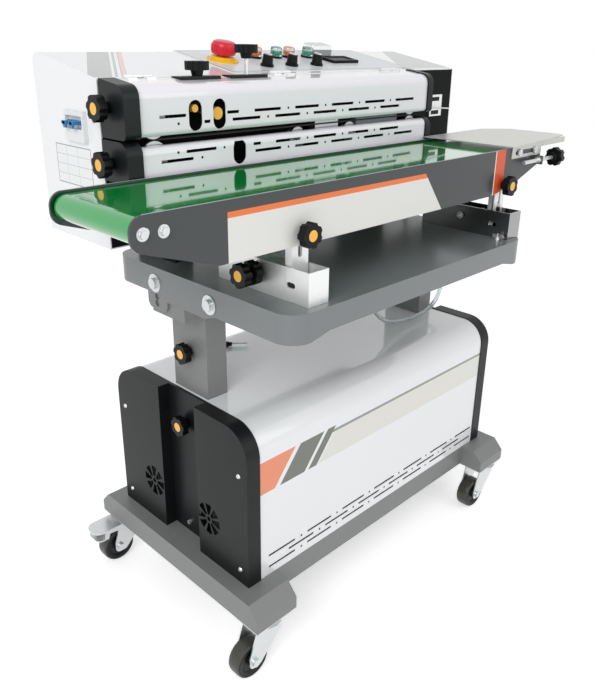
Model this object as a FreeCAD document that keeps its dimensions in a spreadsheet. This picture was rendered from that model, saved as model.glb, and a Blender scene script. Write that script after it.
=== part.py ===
import FreeCAD, Part
import math
import os
import sys
from types import SimpleNamespace

import Sketcher
from FreeCAD import Placement, Rotation, Vector

# A continuous vacuum sealer on a castored cabinet.
# X runs along the conveyor from outfeed to infeed, Y to the back, Z up.
# The origin is on the floor below the middle of the cabinet. Lengths are in millimetres.

doc = FreeCAD.newDocument("vacuum_sealer")
sheet = doc.addObject("Spreadsheet::Sheet", "Sizes")

SIZES = {
    # Fits
    "seat_gap": 0.3,
    "running_gap": 0.05,
    # Base frame
    "beam_centre": 372.5,
    "beam_width": 99.0,
    "beam_height": 51.0,
    "beam_length": 522.0,
    "beam_slope": 24.0,
    "beam_tip": 26.0,
    "beam_wall": 3.0,
    "cross_rail_width": 42.0,
    "seat_length": 88.0,
    "seat_plate": 6.0,
    # Casters
    "caster_x": 378.0,
    "caster_y": 229.0,
    "plate_length": 84.0,
    "plate_width": 62.0,
    "plate_thick": 5.0,
    "raceway_radius": 35.0,
    "raceway_height": 8.0,
    "king_pin_radius": 6.0,
    "wheel_radius": 37.5,
    "wheel_width": 32.0,
    "wheel_hub_radius": 27.0,
    "wheel_trail": 40.0,
    "fork_plate": 2.5,
    "fork_gap": 2.0,
    "fork_foot": 13.0,
    "axle_radius": 4.0,
    "axle_head_radius": 8.0,
    "axle_head": 5.0,
    "pedal_width": 50.0,
    "pedal_reach": 62.0,
    "pedal_plate": 3.0,
    "pedal_pin_radius": 3.0,
    # Cabinet
    "cabinet_half": 392.0,
    "cabinet_depth": 404.0,
    "cabinet_height": 322.0,
    "cover_depth": 31.0,
    "cover_proud": 2.0,
    "cover_wall": 3.0,
    "shoulder_radius": 55.0,
    "channel_width": 113.0,
    "channel_depth": 25.0,
    "wrap_sheet": 1.5,
    "wrap_seam": 8.0,
    "grille_radius": 33.0,
    "grille_core": 10.0,
    "grille_hole": 5.0,
    "grille_spoke_angle": 14.0,
    "grille_y": 90.0,
    "grille_z": 259.0,
    "slot_height": 5.0,
    "cabinet_slot_length": 70.0,
    "cabinet_slot_pitch": 104.0,
    "cabinet_slot_start": -339.0,
    "cabinet_row_low": 181.0,
    "cabinet_row_pitch": 13.0,
    # Vacuum pump
    "floor_thick": 3.0,
    "pump_width": 150.0,
    "pump_depth": 130.0,
    "pump_height": 140.0,
    "motor_radius": 62.0,
    "motor_length": 190.0,
    "exhaust_radius": 45.0,
    "exhaust_height": 90.0,
    # Lifting columns
    "column_centre": 329.0,
    "column_width": 46.0,
    "column_depth": 102.0,
    "column_wall": 3.0,
    "column_foot": 215.0,
    "column_top": 690.0,
    "sleeve_wall": 4.0,
    "tie_height": 28.0,
    "tie_clearance": 16.0,
    "tie_depth": 60.0,
    "column_knob_z": 569.0,
    "channel_knob_z": 421.0,
    # Tray
    "tray_left": -401.0,
    "tray_right": 279.0,
    "tray_front": -322.0,
    "tray_back": 156.0,
    "tray_top": 738.0,
    "tray_skirt": 49.0,
    "tray_relief": 9.0,
    "tray_corner": 38.0,
    "tray_sheet": 2.0,
    "tilt_y": -128.0,
    "tilt_z": 708.0,
    "stop_y": 27.0,
    "stop_pitch": 13.0,
    "bracket_plate": 4.0,
    "bolt_radius": 6.0,
    "bolt_head_radius": 10.0,
    "bolt_head": 6.0,
    "washer_radius": 17.0,
    "washer_thick": 1.5,
    # Guide rails and posts
    "rail_left": -330.0,
    "rail_right": 253.0,
    "rail_width": 44.0,
    "rail_height": 55.0,
    "rail_sheet": 2.0,
    "rail_nose_front": -307.0,
    "rail_nose_back": -257.0,
    "rail_back": -94.0,
    "tongue_back": -112.0,
    "rail_slot_length": 18.0,
    "rail_slot_height": 9.0,
    "rail_knob_y": -198.0,
    "post_width": 36.0,
    "post_thick": 4.0,
    "post_top": 888.0,
    "post_flange_top": 845.0,
    "post_slot_low": 806.0,
    "post_slot_high": 882.0,
    "post_knob_z": 844.0,
    # Conveyor
    "conveyor_left": -627.0,
    "conveyor_right": 399.0,
    "conveyor_front": -270.3,
    "conveyor_back": -67.0,
    "conveyor_plate": 4.0,
    "conveyor_top": 915.0,
    "conveyor_bottom": 826.0,
    "roller_left": -604.0,
    "roller_right": 378.0,
    "roller_z": 892.0,
    "roller_radius": 17.0,
    "roller_journal": 6.0,
    "belt_thick": 2.0,
    "belt_inset": 4.0,
    "nose_radius": 22.0,
    "bed_thick": 3.0,
    "bar_radius": 7.0,
    # Feed table
    "table_z": 919.0,
    "table_sheet": 2.0,
    "table_left": 255.0,
    "table_right": 545.0,
    "table_front": -284.0,
    "table_back": -66.0,
    "table_travel": 8.0,
    "table_slot_left": 288.0,
    "table_slot_length": 93.0,
    "table_slot_height": 9.0,
    "table_slot_z": 905.0,
    "tension_y": -282.0,
    "tension_z": 884.0,
    "tension_left": 309.0,
    "tension_right": 430.0,
    "tension_lug": 63.0,
    "tension_lug_thick": 4.0,
    # Sealing head
    "head_left": -493.0,
    "head_right": 455.0,
    "head_front": 8.0,
    "head_back": 208.0,
    "head_bottom": 791.0,
    "head_front_top": 1056.0,
    "head_slope": 10.6,
    "head_sheet": 2.0,
    "head_corner": 16.0,
    "riser_width": 40.0,
    "cap_left": -465.0,
    "cap_right": 264.0,
    "cap_right_thick": 17.0,
    "cover_front": -58.0,
    "cap_proud": 4.0,
    "upper_top": 1056.0,
    "upper_bottom": 973.0,
    "lower_top": 958.0,
    "lower_bottom": 905.0,
    "cover_sheet": 2.0,
    "cover_round": 20.0,
    "cover_slope": 9.0,
    "head_slot_length": 63.0,
    "head_slot_pitch": 97.5,
    "window_width": 27.0,
    "window_height": 48.0,
    "hinge_radius": 3.0,
    "pressure_knob_y": -13.0,
    "hinge_length": 52.0,
    # Sealing line
    "seal_z": 965.0,
    "band_thick": 1.0,
    "band_width": 14.0,
    "band_back": -20.0,
    "band_wheel_radius": 25.0,
    "band_left": -426.0,
    "band_right": 237.0,
    "wheel_shaft_radius": 5.0,
    "press_wheel_radius": 20.0,
    "heater_left": 60.0,
    "heater_right": 193.0,
    "cooler_left": -60.0,
    "cooler_right": 5.0,
    "block_height": 18.0,
    # Control panel
    "panel_left": -215.0,
    "panel_right": 300.0,
    "panel_near": 15.0,
    "panel_far": 193.0,
    "panel_sheet": 1.2,
    "stop_button_x": -165.0,
    "stop_button_run": 104.0,
    "stop_disc_radius": 30.0,
    "stop_head_radius": 20.0,
    "stop_travel": 4.0,
    "dial_radius": 11.0,
    "dial_height": 17.0,
    "dial_run": 55.0,
    "button_radius": 8.5,
    "button_height": 7.0,
    "button_run": 125.0,
    "bezel_radius": 13.0,
    "bezel_height": 4.0,
    "button_travel": 2.5,
    # Star knobs
    "knob_radius": 20.0,
    "knob_disc": 14.0,
    "knob_neck_radius": 11.0,
    "knob_neck": 9.0,
    "knob_notch": 7.0,
    "knob_cap_radius": 9.0,
    "knob_cap": 1.5,
    "screw_radius": 4.0,
    # Vacuum hose
    "hose_radius": 5.0,
    "barb_radius": 7.0,
    "barb_length": 14.0,
}

for row, (alias, value) in enumerate(SIZES.items(), start=1):
    sheet.set(f"A{row}", alias)
    sheet.set(f"B{row}", str(value))
    sheet.setAlias(f"B{row}", alias)
doc.recompute()


class Size:
    """A length from the sheet, or a sum of such lengths, with the expression that gives it."""

    def __init__(self, value, words):
        self.value = value
        self.words = words

    def __add__(self, other):
        return Size(self.value + number(other), f"({self.words} + {formula(other)})")

    def __radd__(self, other):
        return Size(number(other) + self.value, f"({formula(other)} + {self.words})")

    def __sub__(self, other):
        return Size(self.value - number(other), f"({self.words} - {formula(other)})")

    def __rsub__(self, other):
        return Size(number(other) - self.value, f"({formula(other)} - {self.words})")

    def __mul__(self, factor):
        return Size(self.value * number(factor), f"({self.words} * {formula(factor)})")

    __rmul__ = __mul__

    def __truediv__(self, divisor):
        return Size(self.value / number(divisor), f"({self.words} / {formula(divisor)})")

    def __neg__(self):
        return Size(-self.value, f"(0 - {self.words})")


def number(size):
    return size.value if isinstance(size, Size) else float(size)


def formula(size):
    return size.words if isinstance(size, Size) else f"({float(size):.9g})"


S = SimpleNamespace(**{alias: Size(value, f"Sizes.{alias}") for alias, value in SIZES.items()})


# Shapes bound to the sheet

AXIS_TURN = {
    "X": Rotation(Vector(0, 1, 0), 90),
    "Y": Rotation(Vector(1, 0, 0), -90),
    "Z": Rotation(),
    "-X": Rotation(Vector(0, 1, 0), -90),
    "-Y": Rotation(Vector(1, 0, 0), 90),
    "-Z": Rotation(Vector(1, 0, 0), 180),
}


def bind(thing, path, size):
    thing.setExpression(path, formula(size))


def place(thing, x, y, z, turn=Rotation()):
    """Turn a thing, then tie the three coordinates of its base to the sheet."""
    thing.Placement = Placement(Vector(number(x), number(y), number(z)), turn)
    for letter, size in zip("xyz", (x, y, z)):
        bind(thing, f"Placement.Base.{letter}", size)
    return thing


def block(x, y, z):
    """A box between a low and a high value along each axis."""
    box = doc.addObject("Part::Box", "block")
    for side, (low, high) in zip(("Length", "Width", "Height"), (x, y, z)):
        bind(box, side, high - low)
    return place(box, x[0], y[0], z[0])


def rod(axis, across, radius, low, high):
    """A cylinder along an axis; across holds its two other coordinates in X, Y, Z order."""
    cylinder = doc.addObject("Part::Cylinder", "rod")
    bind(cylinder, "Radius", radius)
    bind(cylinder, "Height", high - low)
    first, second = across
    base = {"X": (low, first, second), "Y": (first, low, second), "Z": (first, second, low)}[axis]
    return place(cylinder, *base, AXIS_TURN[axis])


def group(pieces, label="group"):
    """Separate solids kept side by side in one thing."""
    compound = doc.addObject("Part::Compound", "group")
    compound.Links = list(pieces)
    compound.Label = label
    return compound


def joined(pieces, label="joined"):
    """Solids welded or moulded into one."""
    fuse = doc.addObject("Part::MultiFuse", "joined")
    fuse.Shapes = list(pieces)
    fuse.Refine = True
    fuse.Label = label
    return fuse


def less(base, tools, label="less"):
    """A solid with the tools cut out of it."""
    cut = doc.addObject("Part::Cut", "less")
    cut.Base = base
    cut.Tool = tools[0] if len(tools) == 1 else group(tools)
    cut.Label = label
    return cut


def copy_of(piece, x, y, z, turn=Rotation()):
    """The same piece at another place."""
    return place(group([piece]), x, y, z, turn)


def sketch_on(body, plane, at):
    """An empty sketch on one of the body's own planes, moved to a height along its normal."""
    sketch = body.newObject("Sketcher::SketchObject", "outline")
    role = f"{plane}_Plane"
    own_plane = next(feature for feature in body.Origin.OriginFeatures if feature.Role == role)
    sketch.AttachmentSupport = [(own_plane, "")]
    sketch.MapMode = "FlatFace"
    bind(sketch, "AttachmentOffset.Base.z", 0 - at if plane == "XZ" else 1 * at)
    return sketch


def hold(sketch, kind, *where, size):
    """One dimension of a sketch, tied to the sheet."""
    index = sketch.addConstraint(Sketcher.Constraint(kind, *where, number(size)))
    bind(sketch, f"Constraints[{index}]", size)


def draw_loop(sketch, corners):
    """Straight edges through the corners, each held by its distance from the origin."""
    first = sketch.GeometryCount
    count = len(corners)
    points = [Vector(number(u), number(v), 0) for u, v in corners]
    for index, point in enumerate(points):
        sketch.addGeometry(Part.LineSegment(point, points[(index + 1) % count]), False)
    for index, (u, v) in enumerate(corners):
        following = first + (index + 1) % count
        sketch.addConstraint(Sketcher.Constraint("Coincident", first + index, 2, following, 1))
        hold(sketch, "DistanceX", -1, 1, first + index, 1, size=u)
        hold(sketch, "DistanceY", -1, 1, first + index, 1, size=v)


def draw_circle(sketch, u, v, radius):
    """A hole, held by its centre and radius."""
    centre = Vector(number(u), number(v), 0)
    index = sketch.addGeometry(Part.Circle(centre, Vector(0, 0, 1), number(radius)), False)
    hold(sketch, "DistanceX", -1, 1, index, 3, size=u)
    hold(sketch, "DistanceY", -1, 1, index, 3, size=v)
    hold(sketch, "Radius", index, size=radius)


def plate(plane, at, thick, corners, rounds=(), holes=()):
    """A flat piece: an outline on a plane, padded towards the plane's positive side.

    rounds holds (corner numbers, radius) pairs, and holes holds (u, v, radius) circles.
    """
    body = doc.addObject("PartDesign::Body", "plate")
    sketch = sketch_on(body, plane, at)
    draw_loop(sketch, corners)
    for u, v, radius in holes:
        draw_circle(sketch, u, v, radius)
    pad = body.newObject("PartDesign::Pad", "pad")
    pad.Profile = sketch
    bind(pad, "Length", thick)
    pad.Reversed = plane == "XZ"
    last = pad
    for numbers, radius in rounds:
        doc.recompute()
        spots = [corners[index] for index in numbers]
        names = [
            f"Edge{count}"
            for count, edge in enumerate(last.Shape.Edges, start=1)
            if any(runs_through(edge, plane, spot) for spot in spots)
        ]
        fillet = body.newObject("PartDesign::Fillet", "rounding")
        fillet.Base = (last, names)
        bind(fillet, "Radius", radius)
        last = fillet
    return body


def runs_through(edge, plane, spot):
    """Whether an edge stands square to the plane at a corner of the outline."""
    close = 1e-4
    u, v = number(spot[0]), number(spot[1])
    for vertex in edge.Vertexes:
        across = {"XY": (vertex.X, vertex.Y), "XZ": (vertex.X, vertex.Z), "YZ": (vertex.Y, vertex.Z)}[plane]
        if abs(across[0] - u) > close or abs(across[1] - v) > close:
            return False
    return len(edge.Vertexes) == 2


def turned(profile):
    """A solid of revolution about Z at the origin, from (radius, height) corners."""
    body = doc.addObject("PartDesign::Body", "turned")
    sketch = sketch_on(body, "XZ", 0)
    draw_loop(sketch, profile)
    spin = body.newObject("PartDesign::Revolution", "spin")
    spin.Profile = sketch
    spin.ReferenceAxis = (sketch, ["V_Axis"])
    spin.Angle = 360
    return body


def frustum(axis, across, low_radius, high_radius, low, high):
    cone = doc.addObject("Part::Cone", "cone")
    bind(cone, "Radius1", low_radius)
    bind(cone, "Radius2", high_radius)
    bind(cone, "Height", high - low)
    first, second = across
    base = {"X": (low, first, second), "Y": (first, low, second), "Z": (first, second, low)}[axis]
    return place(cone, *base, AXIS_TURN[axis])


def long_hole(axis, across, length, height, low, high, upright=False):
    """The tool for a round-ended slot through a sheet, about its centre."""
    u, v = across
    radius = height / 2
    reach = length / 2 - radius
    step = (0, 1) if upright else (1, 0)
    ends = [
        rod(axis, (u + side * step[0] * reach, v + side * step[1] * reach), radius, low, high)
        for side in (-1, 1)
    ]
    half_u = reach if not upright else radius
    half_v = radius if not upright else reach
    sides = ((u - half_u, u + half_u), (v - half_v, v + half_v))
    if axis == "Y":
        middle = block(sides[0], (low, high), sides[1])
    else:
        middle = block((low, high), sides[0], sides[1])
    return joined(ends + [middle])


nodes = []


def node(thing, name):
    """Name a finished sub-part."""
    thing.Label = name
    nodes.append((name, thing))
    return thing


# Star knob, the one pattern that all the clamps and adjusters share

def star_knob_head():
    """A notched disc on a neck, standing on the origin and facing +Z, with a cap let into it."""
    top = S.knob_neck + S.knob_disc
    body = doc.addObject("PartDesign::Body", "star")
    sketch = sketch_on(body, "XY", S.knob_neck)
    draw_circle(sketch, 0, 0, S.knob_radius)
    disc = body.newObject("PartDesign::Pad", "disc")
    disc.Profile = sketch
    bind(disc, "Length", S.knob_disc)
    notch_sketch = sketch_on(body, "XY", S.knob_neck)
    draw_circle(notch_sketch, S.knob_radius + S.knob_notch * 0.62, 0, S.knob_notch)
    notch = body.newObject("PartDesign::Pocket", "notch")
    notch.Profile = notch_sketch
    notch.Reversed = True
    bind(notch, "Length", S.knob_disc)
    ring = body.newObject("PartDesign::PolarPattern", "notches")
    ring.Originals = [notch]
    ring.Axis = (notch_sketch, ["N_Axis"])
    ring.Angle = 360
    ring.Occurrences = 7
    body.Tip = ring
    neck = frustum("Z", (0, 0), S.knob_neck_radius * 0.8, S.knob_neck_radius, 0, S.knob_neck)
    recess = rod("Z", (0, 0), S.knob_cap_radius, top - S.knob_cap, top + 1)
    star = less(joined([body, neck]), [recess])
    cap = rod("Z", (0, 0), S.knob_cap_radius, top - S.knob_cap, top)
    return star, cap


star_head, star_cap = star_knob_head()


def star_knob(name, x, y, z, facing, screw, capped=True):
    """A knob whose neck starts at the given point, with a screw going back from it."""
    shaft = rod("Z", (0, 0), S.screw_radius, 0 - screw, 0)
    pieces = [star_head, shaft]
    if capped:
        pieces.append(star_cap)
    return node(place(group(pieces), x, y, z, AXIS_TURN[facing]), name)


# Base frame: two channel beams with sloping ends, two cross rails, the column sleeves,
# and the four caster seats with their king pins.

beam_top = S.cabinet_base = 2 * S.wheel_radius + S.plate_thick + 33 + S.beam_height
beam_bottom = beam_top - S.beam_height
cabinet_front = -S.cabinet_depth / 2
cabinet_back = S.cabinet_depth / 2
cabinet_top = beam_top + S.cabinet_height
raceway_top = beam_bottom - S.plate_thick
fork_top = raceway_top - S.seat_gap


def beam(side):
    """A pressed channel, open below, with its ends sloped down to a short upright tip."""
    tip = S.beam_length / 2
    shoulder = tip - S.beam_slope
    low = side * S.beam_centre - S.beam_width / 2
    high = low + S.beam_width
    tip_top = beam_bottom + S.beam_tip
    outer = plate("YZ", low, S.beam_width, [
        (-tip, beam_bottom), (tip, beam_bottom), (tip, tip_top),
        (shoulder, beam_top), (-shoulder, beam_top), (-tip, tip_top),
    ])
    inside = (low + S.beam_wall, high - S.beam_wall)
    mouth_end = tip - S.seat_length
    mouth = block(inside, (-mouth_end, mouth_end), (beam_bottom - 1, beam_top - S.beam_wall))
    seat_top = beam_bottom + S.seat_plate
    reach = shoulder - S.beam_wall
    hollow = block(inside, (-reach, reach), (seat_top, beam_top - S.beam_wall))
    return less(outer, [joined([mouth, hollow])])


def cross_rail(side):
    """A square tube from beam to beam, flush with the cabinet's front or back."""
    inner_end = S.beam_centre - S.beam_width / 2
    edge = S.cabinet_depth / 2
    near, far = edge - S.cross_rail_width, edge
    y_range = (near, far) if side > 0 else (-far, -near)
    tube = block((-inner_end, inner_end), y_range, (beam_bottom, beam_top))
    wall = S.beam_wall
    bore = block((-inner_end, inner_end), (y_range[0] + wall, y_range[1] - wall),
                 (beam_bottom + wall, beam_top - wall))
    return less(tube, [bore])


def sleeve(side):
    """The tube that a column slides in, welded to a foot between the two cross rails."""
    centre = side * S.column_centre
    half_x = S.column_width / 2 + S.seat_gap
    half_y = S.column_depth / 2 + S.seat_gap
    wall = S.sleeve_wall
    top = cabinet_top - S.wrap_sheet - S.seat_gap
    outer = block((centre - half_x - wall, centre + half_x + wall), (-half_y - wall, half_y + wall),
                  (beam_top, top))
    bore = block((centre - half_x, centre + half_x), (-half_y, half_y), (beam_top - 1, top + 1))
    screw_y = rod("X", (0, S.channel_knob_z), S.screw_radius + S.seat_gap,
                  centre - half_x - wall - 1, centre)
    tools = [bore, screw_y] if side < 0 else [bore]
    return less(outer, tools)


def caster_spots():
    """Name, X and Y of the four casters."""
    for front, y in (("front", -S.caster_y), ("back", 1 * S.caster_y)):
        for end, x in (("left", -S.caster_x), ("right", 1 * S.caster_x)):
            yield f"{front}_{end}", x, y


def caster_seat(x, y):
    """The caster's top plate with its upper raceway and king pin, bolted below the beam."""
    half_x = S.plate_length / 2
    half_y = S.plate_width / 2
    top = block((x - half_x, x + half_x), (y - half_y, y + half_y), (raceway_top, beam_bottom))
    pin_foot = fork_top - S.raceway_height - S.fork_plate
    pin = rod("Z", (x, y), S.king_pin_radius, pin_foot - S.fork_plate, raceway_top)
    head = rod("Z", (x, y), S.king_pin_radius * 1.8, pin_foot - S.fork_plate - S.seat_gap,
               pin_foot - S.seat_gap)
    return joined([top, pin, head])


frame_parts = [beam(-1), beam(1), cross_rail(-1), cross_rail(1), sleeve(-1), sleeve(1)]
seats = [caster_seat(x, y) for _, x, y in caster_spots()]
node(group([joined(frame_parts)] + seats), "base_frame")


# Casters: a pressed fork that swivels on the king pin and trails its wheel

def caster_fork(name, x, y, braked):
    """Lower raceway, two tapering cheeks and the axle bolt through them."""
    pin_hole = S.king_pin_radius + S.running_gap
    race_foot = fork_top - S.raceway_height
    roof_foot = race_foot - S.fork_plate
    inner = S.wheel_width / 2 + S.fork_gap
    outer = inner + S.fork_plate
    race = frustum("Z", (x, y), outer + 6, S.raceway_radius, race_foot, fork_top)
    roof = block((x - S.raceway_radius, x + S.raceway_radius - 2), (y - outer, y + outer),
                 (roof_foot, race_foot))
    axle_x = x - S.wheel_trail
    axle_z = S.wheel_radius
    foot = S.fork_foot
    cheek_outline = [
        (x - S.raceway_radius, race_foot), (axle_x - foot, axle_z + foot),
        (axle_x - foot, axle_z - foot), (axle_x + foot, axle_z - foot),
        (x + S.raceway_radius - 12, race_foot - 22), (x + S.raceway_radius - 2, race_foot),
    ]
    cheeks = []
    for low in (y - outer, y + inner):
        cheek = plate("XZ", low, S.fork_plate, cheek_outline, rounds=[((2, 3), foot * 0.9)])
        cheeks.append(cheek)
    pin_space = rod("Z", (x, y), pin_hole, roof_foot - 1, fork_top + 1)
    axle_hole = rod("Y", (axle_x, axle_z), S.axle_radius, y - outer - 1, y + outer + 1)
    tools = [pin_space, axle_hole]
    if braked:
        tools.append(rod("Y", pedal_pivot(x), S.pedal_pin_radius + S.running_gap,
                         y - outer - 1, y + outer + 1))
    pressing = less(joined([race, roof] + cheeks), tools)
    shank = rod("Y", (axle_x, axle_z), S.axle_radius, y - outer - S.axle_head, y + outer + S.axle_head)
    heads = [
        rod("Y", (axle_x, axle_z), S.axle_head_radius, y - outer - S.axle_head, y - outer),
        rod("Y", (axle_x, axle_z), S.axle_head_radius, y + outer, y + outer + S.axle_head),
    ]
    axle = joined([shank] + heads)
    return node(group([pressing, axle]), f"caster_fork_{name}")


def pedal_pivot(x):
    """X and Z of the pin that the brake pedal rocks on, high on the trailing edge of the fork."""
    return (x - S.raceway_radius + 8, fork_top - S.raceway_height - 9)


def caster_wheel(name, x, y):
    """A hub with a grey tread bonded round it, turned about the axle."""
    bore = S.axle_radius + S.running_gap
    half = S.wheel_width / 2
    hub = turned([
        (bore, 0 - half), (bore + 7, 0 - half), (bore + 8, 0 - half + 5),
        (S.wheel_hub_radius - 3, 0 - half + 5), (1 * S.wheel_hub_radius, 0 - half + 2),
        (1 * S.wheel_hub_radius, half - 2), (S.wheel_hub_radius - 3, half - 5),
        (bore + 8, half - 5), (bore + 7, 1 * half), (bore, 1 * half),
    ])
    crown = S.wheel_radius
    tread = turned([
        (1 * S.wheel_hub_radius, 0 - half + 2), (crown - 4, 0 - half), (crown - 1, 0 - half + 3),
        (1 * crown, 0 - half + 8), (1 * crown, half - 8), (crown - 1, half - 3),
        (crown - 4, 1 * half), (1 * S.wheel_hub_radius, half - 2),
    ])
    wheel = place(group([hub, tread]), x - S.wheel_trail, y, S.wheel_radius, AXIS_TURN["Y"])
    return node(wheel, f"caster_wheel_{name}")


def brake_pedal(name, x, y):
    """A rounded paddle with a lower lip, on two notched ears either side of the fork."""
    inner = S.wheel_width / 2 + S.fork_gap + S.fork_plate + S.seat_gap
    outer = inner + S.fork_plate
    pivot_x, pivot_z = pedal_pivot(x)
    paddle_low = pivot_z + 4
    near = pivot_x - 10
    far = near - S.pedal_reach
    half = S.pedal_width / 2
    paddle = plate("XY", paddle_low, S.pedal_plate, [
        (near, y - half), (near, y + half), (far, y + half), (far, y - half),
    ], rounds=[((2, 3), half * 0.8)])
    lip_near = far + 30
    lip_low = paddle_low - 20
    lip = plate("XY", lip_low, S.pedal_plate, [
        (lip_near, y - outer), (lip_near, y + outer), (far + 4, y + outer), (far + 4, y - outer),
    ], rounds=[((2, 3), half * 0.5)])
    ear_outline = [
        (pivot_x + 6, pivot_z - 7), (pivot_x + 6, pivot_z + 6), (near - 4, paddle_low + S.pedal_plate),
        (far + 24, paddle_low + S.pedal_plate), (far + 20, 1 * lip_low), (lip_near, 1 * lip_low),
        (lip_near + 4, paddle_low - 8), (pivot_x - 7, pivot_z - 7),
    ]
    ears = [plate("XZ", low, S.fork_plate, ear_outline) for low in (y - outer, y + inner)]
    pin = rod("Y", (pivot_x, pivot_z), S.pedal_pin_radius, y - outer, y + outer)
    wheel_room = rod("Y", (x - S.wheel_trail, 1 * S.wheel_radius), S.wheel_radius + 2,
                     y - S.wheel_width / 2 - 1, y + S.wheel_width / 2 + 1)
    return node(joined([less(joined([paddle, lip] + ears), [wheel_room]), pin]), f"brake_pedal_{name}")


for spot, spot_x, spot_y in caster_spots():
    on_back = spot.startswith("back")
    caster_fork(spot, spot_x, spot_y, braked=on_back)
    caster_wheel(spot, spot_x, spot_y)
    if on_back:
        brake_pedal(spot, spot_x, spot_y)


# Cabinet: two moulded end covers, a front and a back sheet wrap

def rounded_section(at, length, grow, radius, sink=0):
    """The cabinet's section, offset outwards by grow, along X."""
    low = beam_top - sink
    side = S.cabinet_depth / 2 + grow
    top = cabinet_top + grow
    corners = [(-side, low), (side, low), (side, top), (-side, top)]
    return plate("YZ", at, length, corners, rounds=[((2, 3), radius)])


def grille_tool(x_low, x_high, y):
    """Eight wedge-shaped openings round a solid core with a small hole."""
    wedge_angle = 45.0 - SIZES["grille_spoke_angle"]
    wedges = []
    for index in range(8):
        wedge = doc.addObject("Part::Cylinder", "wedge")
        bind(wedge, "Radius", S.grille_radius)
        bind(wedge, "Height", x_high - x_low)
        bind(wedge, "Angle", 45 - S.grille_spoke_angle)
        start = Rotation(Vector(0, 0, 1), 45.0 * index - wedge_angle / 2)
        place(wedge, x_low, y, 1 * S.grille_z, AXIS_TURN["X"].multiply(start))
        wedges.append(wedge)
    core = rod("X", (y, 1 * S.grille_z), S.grille_core, x_low - 1, x_high + 1)
    hub_hole = rod("X", (y, 1 * S.grille_z), S.grille_hole, x_low, x_high)
    return group([less(group(wedges), [core]), hub_hole])


def end_cover(side, name):
    """A moulded shell with rounded shoulders, an open channel in front of the column sleeve
    and two fan grilles."""
    outer_x = side * S.cabinet_half
    low = outer_x if side < 0 else outer_x - S.cover_depth
    wall = S.cover_wall
    radius = S.shoulder_radius + S.cover_proud
    shell = rounded_section(low, S.cover_depth, S.cover_proud, radius)
    hollow_low = low + wall if side < 0 else low - 1
    hollow = rounded_section(hollow_low, S.cover_depth - wall + 1, S.cover_proud - wall, radius - wall, sink=1)
    half = S.channel_width / 2
    centre = -1.5
    top = cabinet_top + S.cover_proud
    in_depth = S.channel_depth + wall
    if side < 0:
        box_x, cut_x = (low, low + in_depth), (low - 1, low + S.channel_depth)
    else:
        box_x, cut_x = (outer_x - in_depth, outer_x), (outer_x - S.channel_depth, outer_x + 1)
    channel = block(box_x, (centre - half - wall, centre + half + wall), (beam_top, top))
    gutter = block(cut_x, (centre - half, centre + half), (beam_top - 1, top + 1))
    tools = [gutter]
    face = (low - 1, low + wall + 1) if side < 0 else (outer_x - wall - 1, outer_x + 1)
    for y in (-S.grille_y, 1 * S.grille_y):
        tools.append(grille_tool(face[0], face[1], y))
    if side < 0:
        tools.append(rod("X", (0, S.channel_knob_z), S.screw_radius + S.seat_gap, low, low + in_depth + 1))
    return node(less(joined([less(shell, [hollow]), channel]), tools), name)


end_cover(-1, "cabinet_left_cover")
end_cover(1, "cabinet_right_cover")


def wrap(front, name):
    """A bent sheet over one rounded shoulder, notched for the columns, with rows of slots."""
    reach = S.cabinet_half - S.cover_depth - S.seat_gap
    sheet_wall = S.wrap_sheet
    outer = rounded_section(-reach, 2 * reach, 0, S.shoulder_radius)
    inner = rounded_section(-reach - 1, 2 * reach + 2, -sheet_wall, S.shoulder_radius - sheet_wall, sink=1)
    seam = S.wrap_seam
    gap = S.seat_gap / 2
    beyond = S.cabinet_depth / 2 + 5
    keep_out = (seam - gap, beyond) if front else (-beyond, seam + gap)
    spare = block((-reach - 1, reach + 1), keep_out, (beam_top - 2, cabinet_top + 5))
    half_x = S.column_width / 2 + 1
    half_y = S.column_depth / 2 + 1
    notches = [
        block((side * S.column_centre - half_x, side * S.column_centre + half_x), (-half_y, half_y),
              (cabinet_top - 5, cabinet_top + 5))
        for side in (-1, 1)
    ]
    tools = [inner, spare] + notches
    if front:
        tools += cabinet_slots()
    return node(less(outer, tools), name)


def cabinet_slots():
    """Three rows of dashes near the bottom edge; the middle row is set off by half a pitch."""
    slots = []
    for line, (count, shift) in enumerate(((7, 0.0), (6, 0.5), (7, 0.0))):
        z = S.cabinet_row_low + line * S.cabinet_row_pitch
        for index in range(count):
            x = S.cabinet_slot_start + (index + shift) * S.cabinet_slot_pitch
            slots.append(block((x, x + S.cabinet_slot_length), (cabinet_front - 2, cabinet_front + 4),
                               (z - S.slot_height / 2, z + S.slot_height / 2)))
    return slots


wrap(True, "cabinet_front_wrap")
wrap(False, "cabinet_back_wrap")


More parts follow.
